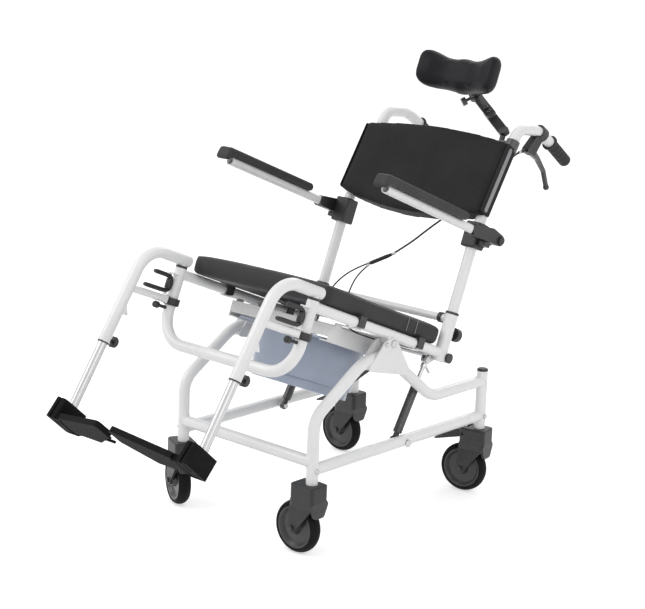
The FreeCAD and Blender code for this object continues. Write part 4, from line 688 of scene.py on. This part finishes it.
def islands_of(node_name):
    """The separate closed shells of a construction node as new meshes, front ones first."""
    whole = bmesh.new()
    whole.from_mesh(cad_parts[node_name].data)
    bmesh.ops.remove_doubles(whole, verts=whole.verts, dist=0.00002)
    unseen = set(whole.verts)
    shells = []
    while unseen:
        reached = [unseen.pop()]
        shell = set(reached)
        while reached:
            for edge in reached.pop().link_edges:
                for vertex in edge.verts:
                    if vertex in unseen:
                        unseen.remove(vertex)
                        shell.add(vertex)
                        reached.append(vertex)
        shells.append(shell)
    shells.sort(key=lambda shell: min(vertex.co.y for vertex in shell))
    meshes = []
    for shell in shells:
        part = whole.copy()
        part.verts.ensure_lookup_table()
        keep = {vertex.index for vertex in shell}
        bmesh.ops.delete(part, geom=[v for v in part.verts if v.index not in keep], context="VERTS")
        meshes.append(mesh_of(part, node_name + "_shell"))
    whole.free()
    return meshes


def applied(piece):
    """Replace a piece's mesh by what its modifiers make of it."""
    graph = bpy.context.evaluated_depsgraph_get()
    mesh = bpy.data.meshes.new_from_object(piece.evaluated_get(graph))
    piece.modifiers.clear()
    piece.data = mesh
    return mesh


def remeshed(piece, cell, smoothing):
    """An even closed mesh of the piece, with its corners eased."""
    remesh = piece.modifiers.new("even_cells", "REMESH")
    remesh.mode = "VOXEL"
    remesh.voxel_size = cell
    ease = piece.modifiers.new("ease", "SMOOTH")
    ease.factor = 0.5
    ease.iterations = smoothing
    applied(piece)


def swell(piece, shrink, limit):
    """Fill the skin of a pad by a short cloth simulation, and cap how far a point may move."""
    scene = bpy.context.scene
    softness = scene.commode_softness
    start = [vertex.co - vertex.normal * shrink for vertex in piece.data.vertices]
    for vertex, before in zip(piece.data.vertices, start):
        vertex.co = before
    cloth = piece.modifiers.new("swell", "CLOTH")
    cloth.settings.use_pressure = True
    cloth.settings.uniform_pressure_force = softness.pressure
    cloth.settings.tension_stiffness = SKIN_STIFFNESS
    cloth.settings.compression_stiffness = SKIN_STIFFNESS
    cloth.settings.bending_stiffness = SKIN_BENDING
    cloth.settings.effector_weights.gravity = 0.0
    cloth.point_cache.frame_start = 1
    cloth.point_cache.frame_end = softness.swell_frames
    for step in range(1, softness.swell_frames + 1):
        scene.frame_set(step)
    for vertex, before in zip(applied(piece).vertices, start):
        moved = vertex.co - before
        if moved.length > limit:
            vertex.co = before + moved.normalized() * limit
    scene.frame_set(1)


def smooth(piece):
    """Round a piece with one subdivision and smooth shading."""
    rounding = piece.modifiers.new("round", "SUBSURF")
    rounding.levels = 1
    rounding.render_levels = 1
    for face in applied(piece).polygons:
        face.use_smooth = True


def tube_curve(name, points, radius, body, closed=False, order=0):
    """A round bar along points: straight runs, or a smooth spline where an order is given."""
    data = bpy.data.curves.new(name, "CURVE")
    data.dimensions = "3D"
    data.bevel_depth = 1.0
    data.bevel_resolution = 5
    data.resolution_u = 12
    data.use_fill_caps = not closed
    spline = data.splines.new("NURBS" if order else "POLY")
    spline.points.add(len(points) - 1)
    for target, point in zip(spline.points, points):
        target.co = (*point, 1.0)
        target.radius = radius
    spline.use_cyclic_u = closed
    if order:
        spline.order_u = order
        spline.use_endpoint_u = not closed
    return add_piece(name, data, body)


def turned_piece(name, profile, start, end, body, segments=32):
    """A lathe-turned piece between two points: the profile holds (share along, radius)."""
    along = end - start
    turn = along.to_track_quat("Z", "Y").to_matrix()
    built = bmesh.new()
    rings = []
    for share, radius in profile:
        ring = []
        for index in range(segments):
            angle = 2 * math.pi * index / segments
            local = Vector((radius * math.cos(angle), radius * math.sin(angle), share * along.length))
            ring.append(built.verts.new(start + turn @ local))
        rings.append(ring)
    stitch(built, rings)
    built.faces.new(list(reversed(rings[0])))
    built.faces.new(rings[-1])
    mesh = mesh_of(built, name)
    for face in mesh.polygons:
        face.use_smooth = len(face.vertices) == 4
    return add_piece(name, mesh, body)


def edge_strip(name, side, width, end_gap, corner, steps):
    """A strip with round corners on one side of the back pad: the steps hold (out from the side, inset)."""
    half_width = width / 2 - corner
    half_height = PAD_HEIGHT / 2 - end_gap - corner
    built = bmesh.new()
    layers = []
    for across, inset in steps:
        layer = []
        for quarter, (to_back, to_top) in enumerate(((1, 1), (-1, 1), (-1, -1), (1, -1))):
            for index in range(CORNER_STEPS + 1):
                angle = math.pi / 2 * (quarter + index / CORNER_STEPS)
                deep = PAD_THICK / 2 + to_back * half_width + (corner - inset) * math.cos(angle)
                high = PAD_HEIGHT / 2 + to_top * half_height + (corner - inset) * math.sin(angle)
                layer.append(built.verts.new(pad_point(side * (PAD_HALF + across), deep, high)))
        layers.append(layer)
    stitch(built, layers)
    built.faces.new(layers[0])
    built.faces.new(layers[-1])
    bmesh.ops.recalc_face_normals(built, faces=built.faces)
    return add_piece(name, mesh_of(built, name), "seat")


def saddle_ring(centre, branch, main, radius, main_radius):
    """Points of the seam where a branch tube meets a main tube, round the branch."""
    across = main.cross(branch).normalized()
    points = []
    for index in range(WELD_STEPS):
        angle = 2 * math.pi * index / WELD_STEPS
        ripple = 1.0 + WELD_RIPPLE / radius * math.sin(angle * WELD_RIPPLES)
        sideways = radius * ripple * math.sin(angle)
        lengthways = radius * ripple * math.cos(angle)
        out = math.sqrt(max(0.0, main_radius ** 2 - min(main_radius, abs(sideways)) ** 2))
        points.append(centre + branch * out + across * sideways + main * lengthways)
    return points


# Operators

class COMMODE_OT_coat_frame(bpy.types.Operator):
    """Coat the base, seat, back, arm and leg rest tubes white"""
    bl_idname = "commode.coat_frame"
    bl_label = "Coat the frame"

    def execute(self, context):
        dress_nodes(("side_frame", "front_crossbar", "seat_frame", "seat_cross", "back_post", "leg_hanger",
                     "arm_tube", "pan_carrier"), "white_coat")
        return {"FINISHED"}


class COMMODE_OT_finish_metal(bpy.types.Operator):
    """Give the leg tubes, bolts, spring rods and black steel parts their metal"""
    bl_idname = "commode.finish_metal"
    bl_label = "Finish the metal"

    def execute(self, context):
        dress_nodes(("leg_tube",), "bright_tube")
        dress_nodes(("base_bolts", "spring_rod"), "plated_steel")
        dress_nodes(("spring_cylinder", "headrest_mount", "headrest_bar", "headrest_plate", "tilt_lever"),
                    "black_steel")
        return {"FINISHED"}


class COMMODE_OT_finish_mouldings(bpy.types.Operator):
    """Give the casters, clamps, pan, caps and grips their plastic and rubber"""
    bl_idname = "commode.finish_mouldings"
    bl_label = "Finish the mouldings"

    def execute(self, context):
        dress_nodes(("caster_fork", "caster_pedal", "base_plugs", "latch_blocks", "seat_clips", "pan_handle",
                     "back_fittings", "arm_brackets", "leg_knob", "release_lever"), "black_moulding")
        dress_nodes(("foot_clamp", "footplate"), "footplate_shaded_moulding")
        for piece in nodes_that_start(("foot_clamp", "footplate")):
            edges = ease_edges(piece, PLATE_EDGE, 2)
            edges.angle_limit = PLATE_EDGE_ANGLE
            edges.harden_normals = True
        dress_nodes(("caster_hub",), "hub_plastic")
        dress_nodes(("caster_tyre",), "tyre_rubber")
        dress_nodes(("commode_pan",), "pan_plastic")
        dress_nodes(("handle_grips",), "grip_rubber")
        return {"FINISHED"}


class COMMODE_OT_bend_levers(bpy.types.Operator):
    """Make the rounded finger forks that let the leg rests swing, and their bosses"""
    bl_idname = "commode.bend_levers"
    bl_label = "Bend the release levers"

    def execute(self, context):
        pivot_back, pivot_up = LEVER_PIVOT
        for side, x in (("left", POST_X), ("right", -POST_X)):
            points = [seat_point(x, pivot_back + back, pivot_up + up) for back, up in LEVER_LINE]
            fork = tube_curve("release_fork_" + side, points, LEVER_RADIUS, "release_" + side, order=3)
            for index in (0, -1):
                fork.data.splines[0].points[index].radius = LEVER_RADIUS * LEVER_TIP_SHARE
            dress(fork, "black_moulding")
            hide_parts("release_lever_" + side)
            low = seat_point(x, pivot_back, pivot_up - LEVER_BOSS_HALF)
            high = seat_point(x, pivot_back, pivot_up + LEVER_BOSS_HALF)
            boss = turned_piece("release_boss_" + side, LEVER_BOSS_STEPS, low, high, "release_" + side)
            dress(boss, "black_moulding")
        return {"FINISHED"}


class COMMODE_OT_pad_seat(bpy.types.Operator):
    """Make the seat cushion with its hole, crown and edge channels, and pale lines at the channels that paint
    highlights
    """
    bl_idname = "commode.pad_seat"
    bl_label = "Pad the seat"

    def execute(self, context):
        softness = context.scene.commode_softness
        cushion = add_piece("seat_cushion_foam", islands_of("seat_cushion")[0], "seat")
        remeshed(cushion, softness.seat_cell, 1)
        swell(cushion, CUSHION_SHRINK, softness.swell_limit)
        smooth(cushion)
        for vertex in cushion.data.vertices:
            vertex.co = self.settled(seat_axes(vertex.co))
        dress(cushion, "seat_lit_skin")
        # Pale grey lines at the side channels: painted highlights.
        for index, (side, slot) in enumerate(((1, 0), (1, 1), (-1, 0), (-1, 1))):
            across = side * (CUSHION_HALF - SHEEN_LINE_RADIUS * 3)
            seam_or_sheen_line = turned_piece("cushion_seam_%d" % index, SHEEN_LINE_STEPS,
                                seat_point(across, CUSHION_SLOTS[slot], SHEEN_LINE_FOOT),
                                seat_point(across, CUSHION_SLOTS[slot], SHEEN_LINE_HEAD), "seat", SHEEN_LINE_SEGMENTS)
            dress(seam_or_sheen_line, "highlight_grey")
        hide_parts("seat_cushion")
        return {"FINISHED"}

    def settled(self, local):
        """A point of the cushion with the channels pressed in and its skirt drawn down to the seat's tubes."""
        for slot in CUSHION_SLOTS:
            near = max(0.0, 1.0 - abs(local.y - slot) / SLOT_WIDTH)
            at_side = max(0.0, 1.0 - (CUSHION_HALF - abs(local.x)) / SLOT_REACH)
            if near and at_side:
                local.x -= math.copysign(SLOT_DEPTH * min(1.0, near * 2.0), local.x) * at_side
        local.z = max(local.z, CUSHION_UNDERSIDE)
        if local.z < SKIRT_HEAD:
            share = (SKIRT_HEAD - local.z) / (SKIRT_HEAD - CUSHION_UNDERSIDE)
            local.z = SKIRT_HEAD - (SKIRT_HEAD - SEAT_TUBE_TOP) * share
        return seat_point(*local)


class COMMODE_OT_pad_back(bpy.types.Operator):
    """Make the back pad with the band let into each of its sides, pale grey as a painted highlight"""
    bl_idname = "commode.pad_back"
    bl_label = "Pad the back"

    def execute(self, context):
        softness = context.scene.commode_softness
        pad = add_piece("back_pad_foam", islands_of("back_pad")[0], "seat")
        remeshed(pad, softness.back_cell, 1)
        swell(pad, PAD_SHRINK, softness.swell_limit / 2)
        smooth(pad)
        dress(pad, "back_pad_shaded_skin")
        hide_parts("back_pad")
        for name, side in (("left", 1), ("right", -1)):
            wall = edge_strip("back_pad_wall_" + name, side, PAD_THICK, WALL_END_GAP, WALL_CORNER, WALL_STEPS)
            dress(wall, "back_pad_shaded_skin")
            # The pale grey band on each side: a painted highlight.
            side_highlight = edge_strip("back_pad_band_" + name, side, BAND_WIDTH, BAND_END_GAP, BAND_WIDTH / 2, BAND_STEPS)
            dress(side_highlight, "highlight_grey")
        return {"FINISHED"}


class COMMODE_OT_pad_headrest(bpy.types.Operator):
    """Make the winged headrest with its soft cover"""
    bl_idname = "commode.pad_headrest"
    bl_label = "Pad the headrest"

    def execute(self, context):
        softness = context.scene.commode_softness
        pad = add_piece("headrest_soft_pad", islands_of("headrest_pad")[0], "headrest")
        remeshed(pad, softness.head_cell, HEAD_SMOOTHING)
        swell(pad, 0.0, softness.swell_limit)
        smooth(pad)
        dress(pad, "cover_skin")
        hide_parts("headrest_pad")
        return {"FINISHED"}


class COMMODE_OT_pad_arms(bpy.types.Operator):
    """Make the foam arm pads and the moulded hinge blocks behind them"""
    bl_idname = "commode.pad_arms"
    bl_label = "Pad the arms"

    def execute(self, context):
        for side in ("left", "right"):
            foam, hinge = islands_of("arm_pad_" + side)
            pad = add_piece("arm_foam_" + side, foam, "arm_" + side)
            remeshed(pad, ARM_CELL, ARM_SMOOTHING)
            smooth(pad)
            dress(pad, "arm_lit_skin")
            block = add_piece("arm_hinge_block_" + side, hinge, "arm_" + side)
            ease_edges(block, HINGE_EDGE, 3)
            dress(block, "black_moulding")
            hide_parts("arm_pad_" + side)
        return {"FINISHED"}


class COMMODE_OT_run_cables(bpy.types.Operator):
    """Run the cable from the tilt lever to its splitter and on to both springs"""
    bl_idname = "commode.run_cables"
    bl_label = "Run the cables"

    def execute(self, context):
        head = seat_point(*MAIN_CABLE[-1])
        foot = seat_point(*SPLITTER_END)
        barrel = turned_piece("tilt_cable_splitter", SPLITTER_STEPS, head, foot, "seat")
        dress(barrel, "grip_rubber")
        above = head + (head - foot).normalized() * SPLITTER_CAP_LENGTH
        cap = turned_piece("tilt_cable_splitter_cap", SPLITTER_CAP_STEPS, above, head, "seat")
        dress(cap, "plated_steel")
        for name, route, radius, length in CABLES:
            points = [seat_point(*point) for point in route]
            cable = tube_curve(name, points, radius, "seat", order=3)
            dress(cable, "grip_rubber")
            if route is MAIN_CABLE:
                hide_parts("tilt_cables")
            steps = [(share, radius * wider) for share, wider in FERRULE_STEPS]
            for end, following in ((points[0], points[1]), (points[-1], points[-2])):
                inward = (following - end).normalized()
                collar = turned_piece(name + "_ferrule", steps, end, end + inward * FERRULE_LENGTH, "seat")
                dress(collar, "plated_steel")
        return {"FINISHED"}


class COMMODE_OT_add_welds(bpy.types.Operator):
    """Add the coated weld beads where the tubes of the base and the seat meet"""
    bl_idname = "commode.add_welds"
    bl_label = "Add the weld beads"

    def execute(self, context):
        up = Vector((0.0, 0.0, 1.0))
        back = Vector((0.0, 1.0, 0.0))
        rise = SEAT_TURN @ up
        along = SEAT_TURN @ back
        seams = []
        for side in (1, -1):
            x = side * POST_X
            inward = Vector((-side, 0.0, 0.0))
            for y, height, branch in ((FRONT_POST_Y, LOW_BAR_HEIGHT, back), (REAR_POST_Y, LOW_BAR_HEIGHT, -back),
                                      (REAR_POST_Y, UPPER_BAR_HEIGHT, -back),
                                      (FRONT_POST_Y, CROSSBAR_HEIGHT, inward)):
                seams.append(("base", Vector((x, y, height)), branch, up, TUBE_RADIUS, TUBE_RADIUS))
            seams += [
                ("seat", seat_point(x, BACK_POST_BACK, CROSS_TUBE_UP), inward, rise, CROSS_TUBE_RADIUS,
                 BACK_POST_RADIUS),
                ("seat", seat_point(x, RAIL_FRONT, RAIL_UP), along, rise, RAIL_RADIUS, TUBE_RADIUS),
                ("seat", seat_point(x, BACK_POST_BACK, RAIL_UP), -along, rise, RAIL_RADIUS, BACK_POST_RADIUS)]
        for index, (body, *seam_or_sheen_line) in enumerate(seams):
            bead = tube_curve("weld_bead_%02d" % index, saddle_ring(*seam_or_sheen_line), WELD_RADIUS, body, closed=True)
            dress(bead, "white_coat")
        return {"FINISHED"}


def white_rays(tree):
    """One where the camera, a reflection or clear plastic sees the surface, and zero elsewhere."""
    rays = place(tree, "ShaderNodeLightPath").outputs
    direct = reckoned(tree, "ADD", rays["Is Camera Ray"], rays["Is Glossy Ray"], clamp=True)
    return reckoned(tree, "ADD", direct, rays["Is Transmission Ray"], clamp=True)


class COMMODE_OT_set_stage(bpy.types.Operator):
    """Set the floor, the room light, the lamps and the camera"""
    bl_idname = "commode.set_stage"
    bl_label = "Set the stage"

    def execute(self, context):
        studio = context.scene.commode_studio
        self.add_floor(context, studio)
        self.light_room(context, studio)
        for name, where, size, power in LAMPS:
            self.add_lamp(context, name, where, size, getattr(studio, power))
        self.add_camera(context, studio)
        return {"FINISHED"}

    def add_floor(self, context, studio):
        """A wide level floor that is white to the camera and keeps the shadow."""
        built = bmesh.new()
        bmesh.ops.create_grid(built, x_segments=2, y_segments=2, size=FLOOR_HALF)
        floor = bpy.data.objects.new("studio_floor", mesh_of(built, "studio_floor"))
        context.scene.collection.objects.link(floor)
        material, tree, shader = new_material("studio_floor_paint", {
            "Base Color": tuple(studio.floor_colour), "Roughness": 0.9, "Specular IOR Level": 0.1,
            "Emission Color": WHITE})
        glow = reckoned(tree, "MULTIPLY", white_rays(tree), FLOOR_GLOW)
        tree.links.new(glow, shader.inputs["Emission Strength"])
        floor.data.materials.append(material)

    def light_room(self, context, studio):
        """Even soft light from the room, white where the camera or a reflection sees it."""
        world = bpy.data.worlds.new("studio_room")
        world.use_nodes = True
        tree = world.node_tree
        tree.nodes.clear()
        soft = place(tree, "ShaderNodeBackground", {"Color": WHITE, "Strength": studio.sky_strength})
        white = place(tree, "ShaderNodeBackground", {"Color": WHITE, "Strength": 1.0})
        mixed = place(tree, "ShaderNodeMixShader", {"Fac": white_rays(tree), 1: soft.outputs[0],
                                                    2: white.outputs[0]})
        place(tree, "ShaderNodeOutputWorld", {"Surface": mixed.outputs[0]})
        context.scene.world = world

    def add_lamp(self, context, name, where, size, power):
        """A large square lamp that looks at the seat."""
        lamp = bpy.data.lights.new(name, "AREA")
        lamp.shape = "SQUARE"
        lamp.size = size
        lamp.energy = power
        holder = bpy.data.objects.new(name, lamp)
        holder.location = where
        holder.rotation_euler = (LAMP_AIM - Vector(where)).to_track_quat("-Z", "Y").to_euler()
        context.scene.collection.objects.link(holder)

    def add_camera(self, context, studio):
        """The photograph's camera."""
        lens = bpy.data.cameras.new("photo_camera")
        lens.sensor_fit = "HORIZONTAL"
        lens.sensor_width = SENSOR_WIDTH
        lens.lens = studio.camera_lens
        lens.clip_end = VIEW_REACH
        camera = bpy.data.objects.new("photo_camera", lens)
        level = Euler((math.pi / 2 - studio.camera_pitch, 0.0, studio.camera_turn)).to_matrix()
        roll = Matrix.Rotation(studio.camera_roll, 3, "Z")
        camera.matrix_world = Matrix.Translation(Vector(studio.camera_place)) @ (level @ roll).to_4x4()
        context.scene.collection.objects.link(camera)
        context.scene.camera = camera


class COMMODE_PT_panel(bpy.types.Panel):
    """The chair's settings and steps in the sidebar"""
    bl_idname = "COMMODE_PT_panel"
    bl_label = "Tilting commode"
    bl_space_type = "VIEW_3D"
    bl_region_type = "UI"
    bl_category = "Commode"

    def draw(self, context):
        for group in (context.scene.commode_finishes, context.scene.commode_softness, context.scene.commode_studio):
            box = self.layout.box()
            for name in group.__annotations__:
                box.prop(group, name)
        for operator in OPERATORS:
            self.layout.operator(operator.bl_idname)


GROUPS = (CommodeFinishes, CommodeSoftness, CommodeStudio)
OPERATORS = (COMMODE_OT_set_stage, COMMODE_OT_run_cables, COMMODE_OT_coat_frame, COMMODE_OT_finish_metal,
             COMMODE_OT_finish_mouldings, COMMODE_OT_bend_levers, COMMODE_OT_pad_seat, COMMODE_OT_pad_back,
             COMMODE_OT_pad_headrest, COMMODE_OT_pad_arms, COMMODE_OT_add_welds)


def register():
    """Add the settings, the operators and the panel."""
    for group in GROUPS + OPERATORS + (COMMODE_PT_panel,):
        bpy.utils.register_class(group)
    bpy.types.Scene.commode_finishes = PointerProperty(type=CommodeFinishes)
    bpy.types.Scene.commode_softness = PointerProperty(type=CommodeSoftness)
    bpy.types.Scene.commode_studio = PointerProperty(type=CommodeStudio)


def unregister():
    """Take away the settings, the operators and the panel."""
    del bpy.types.Scene.commode_finishes
    del bpy.types.Scene.commode_softness
    del bpy.types.Scene.commode_studio
    for group in reversed(GROUPS + OPERATORS + (COMMODE_PT_panel,)):
        bpy.utils.unregister_class(group)


def main():
    """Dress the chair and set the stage."""
    register()
    bpy.context.scene.view_settings.view_transform = "Standard"
    bpy.ops.commode.set_stage()
    bpy.ops.commode.run_cables()
    bpy.ops.commode.coat_frame()
    bpy.ops.commode.finish_metal()
    bpy.ops.commode.finish_mouldings()
    bpy.ops.commode.bend_levers()
    bpy.ops.commode.pad_seat()
    bpy.ops.commode.pad_back()
    bpy.ops.commode.pad_headrest()
    bpy.ops.commode.pad_arms()
    bpy.ops.commode.add_welds()
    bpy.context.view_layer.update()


if __name__ == "__main__":
    main()
